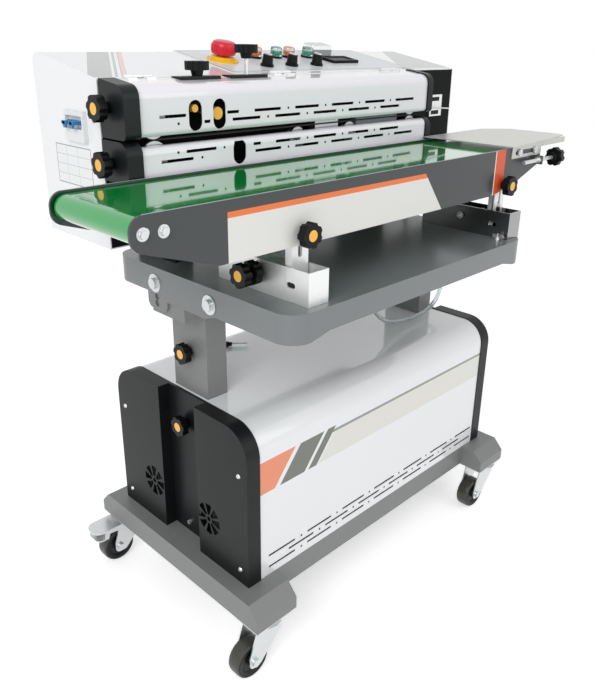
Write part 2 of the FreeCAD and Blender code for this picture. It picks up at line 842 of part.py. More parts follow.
def vacuum_pump():
    """The rotary pump with its oil-mist filter and its motor, on the cabinet's floor plate."""
    reach = S.cabinet_half - S.cover_depth - 5
    side = S.cabinet_depth / 2 - 5
    floor_top = beam_top + S.floor_thick
    foot = S.sleeve_wall + S.seat_gap + 1
    floor = block((-reach, reach), (-side, side), (beam_top, floor_top))
    openings = [
        block((sign * S.column_centre - S.column_width / 2 - foot, sign * S.column_centre + S.column_width / 2 + foot),
              (-S.column_depth / 2 - foot, S.column_depth / 2 + foot), (beam_top - 1, floor_top + 1))
        for sign in (-1, 1)
    ]
    half_y = S.pump_depth / 2
    pump = block((-S.pump_width, 0 * S.pump_width), (-half_y, half_y), (floor_top, floor_top + S.pump_height))
    exhaust = rod("Z", (-S.pump_width / 2, 0), S.exhaust_radius, floor_top + S.pump_height,
                  floor_top + S.pump_height + S.exhaust_height)
    motor_z = floor_top + 15 + S.motor_radius
    motor = rod("X", (0, motor_z), S.motor_radius, 0 * S.motor_length, S.motor_length)
    cowl = rod("X", (0, motor_z), S.motor_radius + 4, S.motor_length - 45, 1 * S.motor_length)
    foot_block = block((S.motor_length * 0.2, S.motor_length * 0.6),
                       (-S.motor_radius * 0.7, S.motor_radius * 0.7), (floor_top, motor_z))
    return node(group([less(floor, openings), joined([pump, exhaust]), joined([motor, cowl, foot_block])]),
                "vacuum_pump")


vacuum_pump()


# Lifting frame: two telescoping columns, a tie clear of the tilting tray and the tray's tilt brackets

tray_skirt_bottom = S.tray_top - S.tray_skirt


def column(side):
    """A rectangular tube that slides in its sleeve."""
    centre = side * S.column_centre
    half_x, half_y = S.column_width / 2, S.column_depth / 2
    wall = S.column_wall
    outer = block((centre - half_x, centre + half_x), (-half_y, half_y), (1 * S.column_foot, 1 * S.column_top))
    bore = block((centre - half_x + wall, centre + half_x - wall), (-half_y + wall, half_y - wall),
                 (S.column_foot - 1, S.column_top - wall))
    screw = rod("X", (0, S.column_knob_z), S.screw_radius + S.seat_gap, centre - half_x - 1, centre)
    return less(outer, [bore, screw] if side < 0 else [bore])


def tilt_bracket(x_low):
    """A plate with the tray's pivot hole in front and a column of stop holes in its hanging ear."""
    stops = [(1 * S.stop_y, S.tilt_z - step * S.stop_pitch, S.bolt_radius + S.seat_gap) for step in range(4)]
    pivot = (1 * S.tilt_y, 1 * S.tilt_z, 1 * S.bolt_radius)
    ear_near, ear_far = S.stop_y - 31, S.stop_y + 28
    ear_foot = S.tilt_z - 51
    top = S.tilt_z + 16
    top_far = top - 6
    arm_foot = S.column_top - 12
    outline = [
        (S.tilt_y - 17, top - 34), (S.tilt_y + 17, arm_foot), (ear_near, arm_foot),
        (ear_near, ear_foot), (ear_far, ear_foot), (ear_far, top_far), (S.tilt_y - 17, top),
    ]
    return plate("YZ", x_low, S.bracket_plate, outline, rounds=[((3, 4), 14), ((0, 6), 12)],
                 holes=stops + [pivot])


def pivot_bolt(x_seat, x_tip, outward):
    """The bolt that the tray tilts on, with a large washer under its head."""
    across = (1 * S.tilt_y, 1 * S.tilt_z)
    washer_far = x_seat + outward * S.washer_thick
    head_far = washer_far + outward * S.bolt_head
    washer = rod("X", across, S.washer_radius, *sorted((x_seat, washer_far), key=number))
    head = rod("X", across, S.bolt_head_radius, *sorted((washer_far, head_far), key=number))
    shank = rod("X", across, S.bolt_radius, *sorted((x_tip, head_far), key=number))
    return joined([shank, washer, head])


def lift_frame():
    tie_top = tray_skirt_bottom - S.tie_clearance
    tie_low = tie_top - S.tie_height
    inner_face = S.column_centre - S.column_width / 2
    half_tie = S.tie_depth / 2
    wall = S.column_wall
    tie_outer = block((-inner_face, inner_face), (-half_tie, half_tie), (tie_low, tie_top))
    tie_bore = block((-inner_face, inner_face), (-half_tie + wall, half_tie - wall),
                     (tie_low - 1, tie_top - wall))
    tie = less(tie_outer, [tie_bore])
    left_plate = S.tray_left + S.tray_sheet + S.seat_gap + 0.2
    right_plate = S.tray_right + S.seat_gap + S.washer_thick + 0.2
    half_y = S.column_depth / 2
    flange_z = (tie_low + 4, S.column_top - 4)
    left_flange = block((left_plate + S.bracket_plate, -S.column_centre - S.column_width / 2),
                        (-half_y + 3, half_y - 3), flange_z)
    right_flange = block((right_plate + S.bracket_plate, 1 * inner_face), (-half_y + 3, half_y - 3), flange_z)
    left_bracket = joined([tilt_bracket(left_plate), left_flange])
    right_bracket = joined([tilt_bracket(right_plate), right_flange, tie])
    left_bolt = pivot_bolt(S.tray_left - S.seat_gap, left_plate + S.bracket_plate, -1)
    right_bolt = pivot_bolt(right_plate + S.bracket_plate, S.tray_right - S.tray_sheet - 4, 1)
    tubes = [column(-1), column(1)]
    return node(group(tubes + [left_bracket, right_bracket, left_bolt, right_bolt]), "lift_frame")


lift_frame()


# Tray: a shallow pressed pan turned upside down, with rounded corners

def tray():
    sheet_wall = S.tray_sheet
    left, right = 1 * S.tray_left, 1 * S.tray_right
    near, far = 1 * S.tray_front, 1 * S.tray_back

    def outline(inset):
        return [(left + inset, near + inset), (right - inset, near + inset),
                (right - inset, far - inset), (left + inset, far - inset)]

    pan = plate("XY", tray_skirt_bottom, S.tray_skirt, outline(0), rounds=[((0, 1, 2, 3), S.tray_corner)])
    hollow = plate("XY", tray_skirt_bottom - 1, S.tray_skirt + 1 - sheet_wall, outline(sheet_wall),
                   rounds=[((0, 1, 2, 3), S.tray_corner - sheet_wall)])
    low = tray_skirt_bottom - 1
    relief = plate("XZ", near - 1, S.tray_corner + 2, [
        (left + 38, low), (left + 82, tray_skirt_bottom + S.tray_relief),
        (right - 82, tray_skirt_bottom + S.tray_relief), (right - 38, low),
    ])
    pivot_gap = S.bolt_radius + S.running_gap
    holes = []
    for x in (left, right):
        holes.append(rod("X", (1 * S.tilt_y, 1 * S.tilt_z), pivot_gap, x - 5, x + 5))
        holes.append(rod("X", (1 * S.stop_y, 1 * S.tilt_z), S.bolt_radius, x - 5, x + 5))
    stop_bolts = [
        joined([
            rod("X", (1 * S.stop_y, 1 * S.tilt_z), S.washer_radius, left - S.washer_thick, left),
            rod("X", (1 * S.stop_y, 1 * S.tilt_z), S.bolt_head_radius, left - S.washer_thick - S.bolt_head,
                left - S.washer_thick),
            rod("X", (1 * S.stop_y, 1 * S.tilt_z), S.bolt_radius, left - S.washer_thick, left + sheet_wall),
        ]),
        joined([
            rod("X", (1 * S.stop_y, 1 * S.tilt_z), S.bolt_radius, right - sheet_wall, right + S.washer_thick),
            rod("X", (1 * S.stop_y, 1 * S.tilt_z), S.bolt_head_radius, right - sheet_wall - S.bolt_head,
                right - sheet_wall),
        ]),
    ]
    hose_barb = rod("Z", hose_tray_end(), S.barb_radius, S.tray_top - sheet_wall - S.barb_length,
                    S.tray_top - sheet_wall)
    return node(group([less(pan, [hollow, relief] + holes), hose_barb] + stop_bolts), "tray")


def hose_tray_end():
    """X and Y where the hose enters its barb under the tray."""
    return (64, -82)


def hose_head_end():
    """X and Y where the hose enters its barb under the sealing head."""
    return (378, 60)


tray()


# Guide rails: fixed channels on the tray, and sliding ones that carry the conveyor's posts

rail_floor = 1 * S.tray_top
rail_top = S.tray_top + S.rail_height


def rail_channel(centre, half, near, far, low, high, closed_front):
    """A U-shaped sheet channel, open at the top, with its front end folded shut on request."""
    sheet_wall = S.rail_sheet
    outer = block((centre - half, centre + half), (near, far), (low, high))
    start = near + sheet_wall if closed_front else near - 1
    inner = block((centre - half + sheet_wall, centre + half - sheet_wall), (start, far + 1),
                  (low + sheet_wall, high + 1))
    return less(outer, [inner])


def outer_rails():
    half = S.rail_width / 2
    near = S.rail_nose_back + S.seat_gap
    knob_z = rail_floor + S.rail_height * 0.64
    rails = []
    for centre in (1 * S.rail_left, 1 * S.rail_right):
        channel = rail_channel(centre, half, near, 1 * S.rail_back, rail_floor, rail_top, False)
        hole = rod("X", (1 * S.rail_knob_y, knob_z), S.screw_radius + S.seat_gap, centre - half - 1, centre)
        rails.append(less(channel, [hole]))
    return node(group(rails), "outer_rails")


outer_rails()


def sliding_rails():
    """Nose box, tongue inside the outer rail and the upright post, one set each side."""
    half = S.rail_width / 2
    gap = S.seat_gap
    tongue_half = half - S.rail_sheet - gap
    sets = []
    for centre in (1 * S.rail_left, 1 * S.rail_right):
        nose = rail_channel(centre, half, 1 * S.rail_nose_front, 1 * S.rail_nose_back,
                            rail_floor + gap, rail_top, True)
        tongue = rail_channel(centre, tongue_half, S.rail_nose_back - 4, 1 * S.tongue_back,
                              rail_floor + S.rail_sheet + gap, rail_top - 4, False)
        slot = long_hole("X", (S.rail_nose_front + 38, rail_floor + S.rail_height / 2), S.rail_slot_length,
                         S.rail_slot_height, centre - half - 1, centre + half + 1)
        front = S.conveyor_front + S.conveyor_plate + gap
        post = block((centre - S.post_width / 2, centre + S.post_width / 2), (front, front + S.post_thick),
                     (rail_floor + S.rail_sheet, 1 * S.post_top))
        flange = block((centre - S.post_width / 2, centre - S.post_width / 2 + S.post_thick),
                       (front, front + 14), (rail_floor + S.rail_sheet, 1 * S.post_flange_top))
        height = S.post_slot_high - S.post_slot_low
        post_slot = long_hole("Y", (centre, (S.post_slot_high + S.post_slot_low) / 2), height,
                              2 * (S.screw_radius + gap), front - 1, front + S.post_thick + 1, upright=True)
        clamp_slot = long_hole("X", (S.rail_knob_y + 40, rail_floor + S.rail_height * 0.64), 100,
                               2 * (S.screw_radius + gap), centre - half, centre)
        nose = less(nose, [slot])
        tongue = less(tongue, [clamp_slot])
        upright = less(joined([post, flange]), [post_slot])
        sets.append(joined([nose, tongue, upright]))
    return node(group(sets), "sliding_rails")


sliding_rails()


# Conveyor: two side plates, a slider bed, cross bars, rollers and the endless belt

def side_plate_outline():
    """Round nose at the outfeed, a straight lower edge and a long taper at the infeed."""
    left, right = 1 * S.conveyor_left, 1 * S.conveyor_right
    top, bottom = 1 * S.conveyor_top, 1 * S.conveyor_bottom
    return [
        (left, top), (left, top - 2 * S.nose_radius), (left + 137, bottom), (right - 182, bottom),
        (right - 94, bottom + 17), (right, bottom + 49), (right, top),
    ]


def side_plate(y_low, holes):
    return plate("XZ", y_low, S.conveyor_plate, side_plate_outline(),
                 rounds=[((0, 1), S.nose_radius * 0.95)], holes=holes)


belt_front = S.conveyor_front + S.conveyor_plate + S.post_thick + 2 * S.seat_gap
belt_back = S.conveyor_back - S.conveyor_plate - S.belt_inset


def conveyor_frame():
    journal = S.roller_journal + S.running_gap
    rollers = [(1 * S.roller_left, 1 * S.roller_z, journal), (1 * S.roller_right, 1 * S.roller_z, journal)]
    screws = [(centre, 1 * S.post_knob_z, S.screw_radius + S.seat_gap) for centre in (1 * S.rail_left, 1 * S.rail_right)]
    front = side_plate(1 * S.conveyor_front, rollers + screws)
    back = side_plate(S.conveyor_back - S.conveyor_plate, rollers)
    inner = (S.conveyor_front + S.conveyor_plate, S.conveyor_back - S.conveyor_plate)
    bed_top = S.roller_z + S.roller_radius - S.seat_gap
    bed = block((S.roller_left + 24, S.roller_right - 24), (belt_front, inner[1]), (bed_top - S.bed_thick, bed_top))
    bed_lugs = [
        block((x, x + 30), (inner[0], belt_front), (bed_top - S.bed_thick, bed_top))
        for x in (S.rail_left - 120, (S.rail_left + S.rail_right) / 2, S.rail_right + 60)
    ]
    bars = [
        rod("Y", (x, S.roller_z - 32), S.bar_radius, inner[0], inner[1])
        for x in (S.rail_left - 90, (S.rail_left + S.rail_right) / 2, S.rail_right + 60)
    ]
    lug_x = S.tension_left + S.tension_lug
    lug = block((lug_x, lug_x + S.tension_lug_thick), (S.tension_y - 8, 1 * S.conveyor_front), (S.tension_z - 9, S.tension_z + 9))
    lug_hole = rod("X", (1 * S.tension_y, 1 * S.tension_z), S.screw_radius + S.running_gap, lug_x - 1, lug_x + S.tension_lug_thick + 1)
    bolt_xs = (S.table_slot_left + S.table_travel + 6,
               S.table_slot_left + S.table_slot_length - S.table_travel - 6)
    flange_face = S.conveyor_front - S.seat_gap - S.table_sheet
    bolts = []
    for x in bolt_xs:
        across = (x, 1 * S.table_slot_z)
        bolts.append(rod("Y", across, S.table_slot_height / 2 - S.seat_gap, flange_face - S.seat_gap,
                         1 * S.conveyor_front))
        bolts.append(rod("Y", across, S.table_slot_height / 2 + 3, flange_face - S.seat_gap - 4,
                         flange_face - S.seat_gap))
    body = less(joined([front, back, bed, lug] + bed_lugs + bars + bolts), [lug_hole])
    return node(body, "conveyor_frame")


conveyor_frame()


def stadium(radius, low, high):
    """The endless track round both rollers at a given radius."""
    span = block((1 * S.roller_left, 1 * S.roller_right), (low, high), (S.roller_z - radius, S.roller_z + radius))
    ends = [rod("Y", (x, 1 * S.roller_z), radius, low, high) for x in (1 * S.roller_left, 1 * S.roller_right)]
    return joined([span] + ends)


def conveyor_belt():
    outer = stadium(S.roller_radius + S.belt_thick, belt_front, belt_back)
    inner = stadium(1 * S.roller_radius, belt_front - 1, belt_back + 1)
    return node(less(outer, [inner]), "conveyor_belt")


conveyor_belt()


def roller(name, x):
    """A plain drum on journals that run in the side plates."""
    low = belt_front - 1
    high = belt_back + 1
    across = (x, 1 * S.roller_z)
    drum = rod("Y", across, S.roller_radius - S.seat_gap, low, high)
    shaft = rod("Y", across, S.roller_journal, S.conveyor_front + S.seat_gap, 1 * S.conveyor_back)
    return node(joined([drum, shaft]), name)


roller("outfeed_roller", 1 * S.roller_left)
roller("infeed_roller", 1 * S.roller_right)


def feed_table():
    """A thin shelf over the infeed end, hung on a slotted front flange, with a cut back corner."""
    left, right = 1 * S.table_left, 1 * S.table_right
    near, far = 1 * S.table_front, 1 * S.table_back
    top_sheet = plate("XY", S.table_z, S.table_sheet, [
        (left, near), (right, near + 30), (right, far - 46), (right - 56, far), (left, far),
    ], rounds=[((1,), 24), ((2, 3), 14)])
    flange_near = S.conveyor_front - S.seat_gap - S.table_sheet
    flange = block((S.table_slot_left - 14, S.table_slot_left + S.table_slot_length + 14),
                   (flange_near, flange_near + S.table_sheet), (S.table_slot_z - 11, 1 * S.table_z))
    slot = long_hole("Y", (S.table_slot_left + S.table_slot_length / 2, 1 * S.table_slot_z), S.table_slot_length,
                     S.table_slot_height, flange_near - 1, flange_near + S.table_sheet + 1)
    stiffener = block((S.table_slot_left + S.table_slot_length + 24, right - 20),
                      (near + 22, near + 22 + S.table_sheet), (S.table_z - 12, 1 * S.table_z))
    return node(joined([top_sheet, less(flange, [slot]), stiffener]), "feed_table")


feed_table()


# Sealing head: a white chassis with a sloping top, a black front plate and two covers

slope = math.tan(math.radians(SIZES["head_slope"]))
head_depth = S.head_back - S.head_front
head_back_top = S.head_front_top + head_depth * slope
head_turn = Rotation(Vector(1, 0, 0), SIZES["head_slope"])


def head_section(at, length, inset, front_inset):
    """The chassis section: upright front and back, sloping top and a rounded back shoulder."""
    corners = [
        (S.head_front + front_inset, S.head_bottom + inset), (S.head_back - inset, S.head_bottom + inset),
        (S.head_back - inset, head_back_top - inset), (S.head_front + front_inset, S.head_front_top - inset),
    ]
    return plate("YZ", at, length, corners, rounds=[((2,), S.head_corner)])


def head_casing():
    """Folded sheet with its front left open, standing on two risers, with the hose barb below."""
    wall = S.head_sheet
    shell = head_section(1 * S.head_left, S.head_right - S.head_left, 0, 0)
    room = head_section(S.head_left + wall, S.head_right - S.head_left - 2 * wall, wall, -1)
    risers = []
    for x in (S.tray_left + 60, S.tray_right - 60):
        risers.append(block((x - S.riser_width / 2, x + S.riser_width / 2),
                            (S.head_front + 12, S.tray_back - 20), (1 * S.tray_top, 1 * S.head_bottom)))
    barb = rod("Z", hose_head_end(), S.barb_radius, S.head_bottom - S.barb_length, 1 * S.head_bottom)
    return node(group([less(shell, [room])] + risers + [barb]), "head_casing")


head_casing()

shaft_room = S.wheel_shaft_radius + S.running_gap
band_radius = S.band_wheel_radius + S.band_thick
upper_wheel_z = S.seal_z + band_radius + 0.5
lower_wheel_z = S.seal_z - band_radius
press_wheel_z = S.seal_z - S.band_thick - S.press_wheel_radius - S.seat_gap
band_front = S.band_back - S.band_width
adjuster_spots = {"left": (-357, 1011), "right": (-311, 1001)}
press_spots = {"left": -107, "right": 39}


def head_front_plate():
    """The black plate that closes the chassis and carries every shaft of the sealing line."""
    wall = S.head_sheet
    outline = [
        (S.head_left + wall + S.seat_gap, S.head_bottom + wall + S.seat_gap),
        (S.head_right - wall - S.seat_gap, S.head_bottom + wall + S.seat_gap),
        (S.head_right - wall - S.seat_gap, S.head_front_top - wall - S.seat_gap),
        (S.head_left + wall + S.seat_gap, S.head_front_top - wall - S.seat_gap),
    ]
    holes = [(x, z, shaft_room) for x in (1 * S.band_left, 1 * S.band_right) for z in (upper_wheel_z, lower_wheel_z)]
    holes += [(x, press_wheel_z, shaft_room) for x in press_spots.values()]
    holes += [(x, z, S.screw_radius + S.running_gap) for x, z in adjuster_spots.values()]
    panel = plate("XZ", 1 * S.head_front, 3, outline, holes=holes)
    ledge = block((S.cap_left + 10, S.cap_right - 30), (S.head_front - 40, 1 * S.head_front),
                  (S.head_bottom + 6, S.head_bottom + 19))
    return node(joined([panel, ledge]), "head_front_plate")


head_front_plate()


def band_wheel(name, x, z):
    """A flanged wheel on its shaft; the shaft runs in the front plate."""
    half_gap = S.seat_gap
    rim = rod("Y", (x, z), S.band_wheel_radius - half_gap, band_front - 1, S.band_back + 1)
    flange = rod("Y", (x, z), S.band_wheel_radius - 4, S.band_back + 1, S.band_back + 5)
    shaft = rod("Y", (x, z), S.wheel_shaft_radius, band_front - 4, S.head_front + 14)
    return node(joined([rim, flange, shaft]), name)


for wheel_side, wheel_x in (("left", 1 * S.band_left), ("right", 1 * S.band_right)):
    band_wheel(f"upper_band_wheel_{wheel_side}", wheel_x, upper_wheel_z)
    band_wheel(f"lower_band_wheel_{wheel_side}", wheel_x, lower_wheel_z)


def press_wheel(name, x):
    """A grooved wheel that holds the lower band up against the bag."""
    rim = rod("Y", (x, press_wheel_z), S.press_wheel_radius, band_front, 1 * S.band_back)
    groove = less(rod("Y", (x, press_wheel_z), S.press_wheel_radius + 1, band_front + 5, S.band_back - 5),
                  [rod("Y", (x, press_wheel_z), S.press_wheel_radius - 2, band_front, 1 * S.band_back)])
    shaft = rod("Y", (x, press_wheel_z), S.wheel_shaft_radius, band_front - 4, S.head_front + 14)
    return node(joined([less(rim, [groove]), shaft]), name)


for wheel_side, wheel_x in press_spots.items():
    press_wheel(f"press_wheel_{wheel_side}", wheel_x)


def band(z):
    """One endless seal band round its two wheels."""
    def track(radius, low, high):
        span = block((1 * S.band_left, 1 * S.band_right), (low, high), (z - radius, z + radius))
        ends = [rod("Y", (x, z), radius, low, high) for x in (1 * S.band_left, 1 * S.band_right)]
        return joined([span] + ends)

    return less(track(band_radius, band_front, 1 * S.band_back),
                [track(1 * S.band_wheel_radius, band_front - 1, S.band_back + 1)])


node(group([band(upper_wheel_z), band(lower_wheel_z)]), "seal_bands")


def seal_blocks():
    """Heating and cooling blocks, in pairs above and below the bands, on carriers from the plate."""
    gap = S.seat_gap
    pieces = []
    for left, right in ((1 * S.heater_left, 1 * S.heater_right), (1 * S.cooler_left, 1 * S.cooler_right)):
        upper_low = S.seal_z + 0.5 + S.band_thick + gap
        lower_high = S.seal_z - S.band_thick - gap
        for low, high in ((upper_low, upper_low + S.block_height), (lower_high - S.block_height, lower_high)):
            bar = block((left, right), (band_front, 1 * S.band_back), (low, high))
            middle = (left + right) / 2
            arm = block((middle - 8, middle + 8), (1 * S.band_back, 1 * S.head_front), (low + 3, high - 3))
            pieces.append(joined([bar, arm]))
    return node(group(pieces), "seal_blocks")


seal_blocks()


upper_cover_back = S.head_front - S.hinge_radius - 2


def cover_outline(back, top, bottom, inset, sloped):
    """Section of a head cover: back edge, front face and the shoulder between them."""
    front = S.cover_front + inset
    drop = S.cover_slope if sloped else 0 * S.cover_slope
    return [(back, bottom + inset), (front, bottom + inset), (front, top - drop - inset), (back, top - inset)]


def cap(x_low, x_high, back, top, bottom, sloped, round_foot):
    """A moulded end cap, slightly proud of its cover."""
    outline = cover_outline(back, top + 2, bottom - 2, 0, sloped)
    proud = [(u - S.cap_proud if index in (1, 2) else u, v) for index, (u, v) in enumerate(outline)]
    rounds = [((2,), S.cover_round)]
    if round_foot:
        rounds.append(((1,), 9))
    return plate("YZ", x_low, x_high - x_low, proud, rounds=rounds)


def dashes(rows, y_low, y_high):
    """Ventilation dashes; each row holds its height and the (start, length) of its dashes."""
    tools = []
    for z, spans in rows:
        for start, length in spans:
            tools.append(block((start, start + length), (y_low, y_high), (z - S.slot_height / 2, z + S.slot_height / 2)))
    return tools


def dash_run(start, count):
    """Full dashes at the pitch of the head covers."""
    return [(start + index * S.head_slot_pitch, 1 * S.head_slot_length) for index in range(count)]


def upper_cover():
    """The hinged cover: bent sheet, two end caps, knob plates and the moving hinge knuckles."""
    left, right = 1 * S.cap_left, 1 * S.cap_right
    top, bottom = 1 * S.upper_top, 1 * S.upper_bottom
    wall = S.cover_sheet
    outer = plate("YZ", left, right - left, cover_outline(upper_cover_back, top, bottom, 0, True),
                  rounds=[((2,), S.cover_round), ((1,), 8)])
    inner_outline = cover_outline(upper_cover_back, top, bottom, wall, True)
    inner_outline[0] = (inner_outline[0][0] + 1, inner_outline[0][1])
    inner_outline[3] = (inner_outline[3][0] + 1, inner_outline[3][1])
    inner = plate("YZ", left - 1, right - left + 2, inner_outline,
                  rounds=[((2,), S.cover_round - wall), ((1,), 8 - wall)])
    mouth = block((left - 1, right + 1), (S.cover_front + 14, S.head_front + 2), (bottom - 3, bottom + 10))
    y_low, y_high = S.cover_front - 1, S.cover_front + wall + 1
    rows = [
        (1002, [(-429, 51), (-295, 26)] + dash_run(-235, 5)),
        (990, [(-343, 13)] + dash_run(-284, 5)),
    ]
    windows = [
        long_hole("Y", (x, (top + bottom) / 2 - 14), S.window_height, 1 * S.window_width, y_low - 2, y_high + 2, upright=True)
        for x in (-360, -311)
    ]
    plates = []
    for x_low, x_high in ((-361, -279), (-256, -173)):
        plates.append(block((x_low, x_high), (S.cover_front + 34, S.cover_front + 60), (top - 8, top + 1.5)))
    screw_holes = [
        rod("Z", (x, 1 * S.pressure_knob_y), S.screw_radius + S.seat_gap, top - 12, top + 5) for x in (-320, -213)
    ]
    sheet_part = less(joined([less(outer, [inner, mouth] + dashes(rows, y_low, y_high) + windows)] + plates),
                      screw_holes)
    left_cap = cap(1 * S.head_left, left, upper_cover_back, top, bottom, True, True)
    right_cap = cap(right, right + S.cap_right_thick, upper_cover_back, top, bottom, True, True)
    knob_hole = rod("X", (end_knob_y, upper_knob_z), S.screw_radius + S.seat_gap, S.head_left - 1, S.head_left + 20)
    return node(group([joined([sheet_part] + moving_knuckles()), less(left_cap, [knob_hole]), right_cap]), "upper_cover")


hinge_y = S.head_front - S.hinge_radius - 0.5
hinge_z = S.head_front_top + S.hinge_radius
end_knob_y = -16
upper_knob_z = 1016
lower_knob_z = 933
hinge_spots = (-423, -117, 203)


def moving_knuckles():
    """The two outer knuckles of each hinge, with the leaf on the cover."""
    pieces = []
    third = S.hinge_length / 3
    gap = S.seat_gap / 2
    for x in hinge_spots:
        for low, high in ((x - third * 1.5, x - third * 0.5 - gap), (x + third * 0.5 + gap, x + third * 1.5)):
            pieces.append(rod("X", (hinge_y, hinge_z), S.hinge_radius, low, high))
            pieces.append(block((low, high), (hinge_y - 14, 1 * hinge_y),
                                (hinge_z - S.hinge_radius - 3, hinge_z - S.hinge_radius + 1.5)))
    return pieces


def fixed_knuckles():
    """The middle knuckle of each hinge."""
    half = S.hinge_length / 6 - S.seat_gap / 2
    return [rod("X", (hinge_y, hinge_z), S.hinge_radius, x - half, x + half) for x in hinge_spots]


upper_cover()


def lower_cover():
    """The fixed cover below the sealing line: a front sheet with a rounded top lip and end caps."""
    left, right = 1 * S.cap_left, 1 * S.cap_right
    top, bottom = 1 * S.lower_top, 1 * S.lower_bottom
    wall = S.cover_sheet
    outer = plate("YZ", left, right - left, cover_outline(1 * S.head_front, top, bottom, 0, False), rounds=[((2,), 12)])
    inner_outline = cover_outline(1 * S.head_front, top, bottom, wall, False)
    inner_outline[0] = (inner_outline[0][0] + 1, bottom - 1)
    inner_outline[1] = (inner_outline[1][0], bottom - 1)
    inner_outline[3] = (inner_outline[3][0] + 1, inner_outline[3][1])
    inner = plate("YZ", left - 1, right - left + 2, inner_outline, rounds=[((2,), 10)])
    open_top = block((left - 1, right + 1), (S.cover_front + 17, S.head_front + 2), (top - 5, top + 3))
    y_low, y_high = S.cover_front - 1, S.cover_front + wall + 1
    rows = [
        (946, [(-381, 62), (-238, 18)] + dash_run(-185, 4)),
        (934, [(-430, 63)] + dash_run(-234, 5)),
    ]
    window = long_hole("Y", (-269, top - 22), S.window_height - 6, S.window_width + 2, y_low - 2, y_high + 2, upright=True)
    sheet_part = less(outer, [inner, open_top, window] + dashes(rows, y_low, y_high))
    left_cap = cap(1 * S.head_left, left, 1 * S.head_front, top + 8, bottom + 2, False, False)
    right_cap = cap(right, right + S.cap_right_thick, 1 * S.head_front, top, bottom + 2, False, False)
    knob_hole = rod("X", (end_knob_y, lower_knob_z), S.screw_radius + S.seat_gap, S.head_left - 1, S.head_left + 20)
    return node(group([sheet_part, less(left_cap, [knob_hole]), right_cap]), "lower_cover")


lower_cover()


# Control panel: everything is set out on the sloping top, run measured up the slope

def on_slope(pieces):
    """Carry pieces, drawn flat about the front top edge, onto the sloping top."""
    return place(group(pieces), 0, 1 * S.head_front, 1 * S.head_front_top, head_turn)


dial_spots = {"left": -96, "middle": -30, "right": 41}
button_spots = {"orange_left": -65, "green_left": -9, "orange_right": 27, "green_right": 82}


def control_panel():
    """Overlay plate with its fixed fittings: collars, bezels, display, gauge box and breaker body."""
    sheet_top = S.panel_sheet
    overlay = block((1 * S.panel_left, 1 * S.panel_right), (1 * S.panel_near, 1 * S.panel_far), (0 * sheet_top, sheet_top))
    stop_disc = rod("Z", (1 * S.stop_button_x, 1 * S.stop_button_run), S.stop_disc_radius, sheet_top, sheet_top + 3)
    stop_at = (1 * S.stop_button_x, 1 * S.stop_button_run)
    stop_collar = less(
        rod("Z", stop_at, S.stop_head_radius * 0.7, sheet_top + 3, sheet_top + 8),
        [rod("Z", stop_at, S.stop_head_radius * 0.55 + S.seat_gap, sheet_top + 3, sheet_top + 9)])
    bezel_top = sheet_top + S.bezel_height
    bezels = [
        rod("Z", (x, 1 * S.dial_run), S.bezel_radius, sheet_top, bezel_top) for x in dial_spots.values()
    ]
    for x in button_spots.values():
        ring = rod("Z", (x, 1 * S.button_run), S.bezel_radius, sheet_top, bezel_top)
        well = rod("Z", (x, 1 * S.button_run), S.button_radius * 0.6 + S.seat_gap, sheet_top, bezel_top + 1)
        bezels.append(less(ring, [well]))
    display = less(block((104, 184), (66, 110), (sheet_top, sheet_top + 6)),
                   [block((112, 176), (72, 104), (sheet_top + 4, sheet_top + 8))])
    gauge = block((98, 152), (120, 156), (sheet_top, sheet_top + 16))
    leaves = []
    third = S.hinge_length / 3
    gap = S.seat_gap / 2
    for x in hinge_spots:
        leaves.append(block((x - third * 0.5 + gap, x + third * 0.5 - gap), (-3, 13), (0 * gap, 2.5)))
    fittings = on_slope([overlay, joined([stop_disc, stop_collar])] + bezels + [display, gauge])
    hinges = [joined([on_slope([leaf]), knuckle]) for leaf, knuckle in zip(leaves, fixed_knuckles())]
    breaker = less(block((S.head_left - 8, 1 * S.head_left), (46, 106), (958, 1006)),
                   [block((S.head_left - 9, S.head_left - 1), (51, 101), (978, 998))])
    return node(group([fittings, breaker] + hinges), "control_panel")


control_panel()


def emergency_stop():
    """A mushroom head on a short stem that presses into its collar."""
    seat = S.panel_sheet + 8 + S.seat_gap
    stem_foot = S.panel_sheet + 3 + S.stop_travel + S.seat_gap
    head = turned([
        (0, seat + S.stop_travel), (S.stop_head_radius * 0.75, seat + S.stop_travel),
        (S.stop_head_radius, seat + S.stop_travel + 6), (S.stop_head_radius, seat + S.stop_travel + 17),
        (S.stop_head_radius * 0.85, seat + S.stop_travel + 21), (0, seat + S.stop_travel + 23),
    ])
    head = place(group([head]), 1 * S.stop_button_x, 1 * S.stop_button_run, 0)
    stem = rod("Z", (1 * S.stop_button_x, 1 * S.stop_button_run), S.stop_head_radius * 0.55, stem_foot,
               seat + S.stop_travel)
    return node(on_slope([joined([head, stem])]), "emergency_stop")


emergency_stop()


def dial(name, x):
    """A knurled skirt with a raised grip bar."""
    low = S.panel_sheet + S.bezel_height + S.seat_gap
    skirt = frustum("Z", (x, 1 * S.dial_run), S.dial_radius, S.dial_radius * 0.85, low, low + S.dial_height)
    grip = block((x - 2.5, x + 2.5), (S.dial_run - S.dial_radius * 0.8, S.dial_run + S.dial_radius * 0.8),
                 (low + S.dial_height, low + S.dial_height + 2))
    return node(on_slope([joined([skirt, grip])]), name)


for dial_side, dial_x in dial_spots.items():
    dial(f"dial_{dial_side}", dial_x)


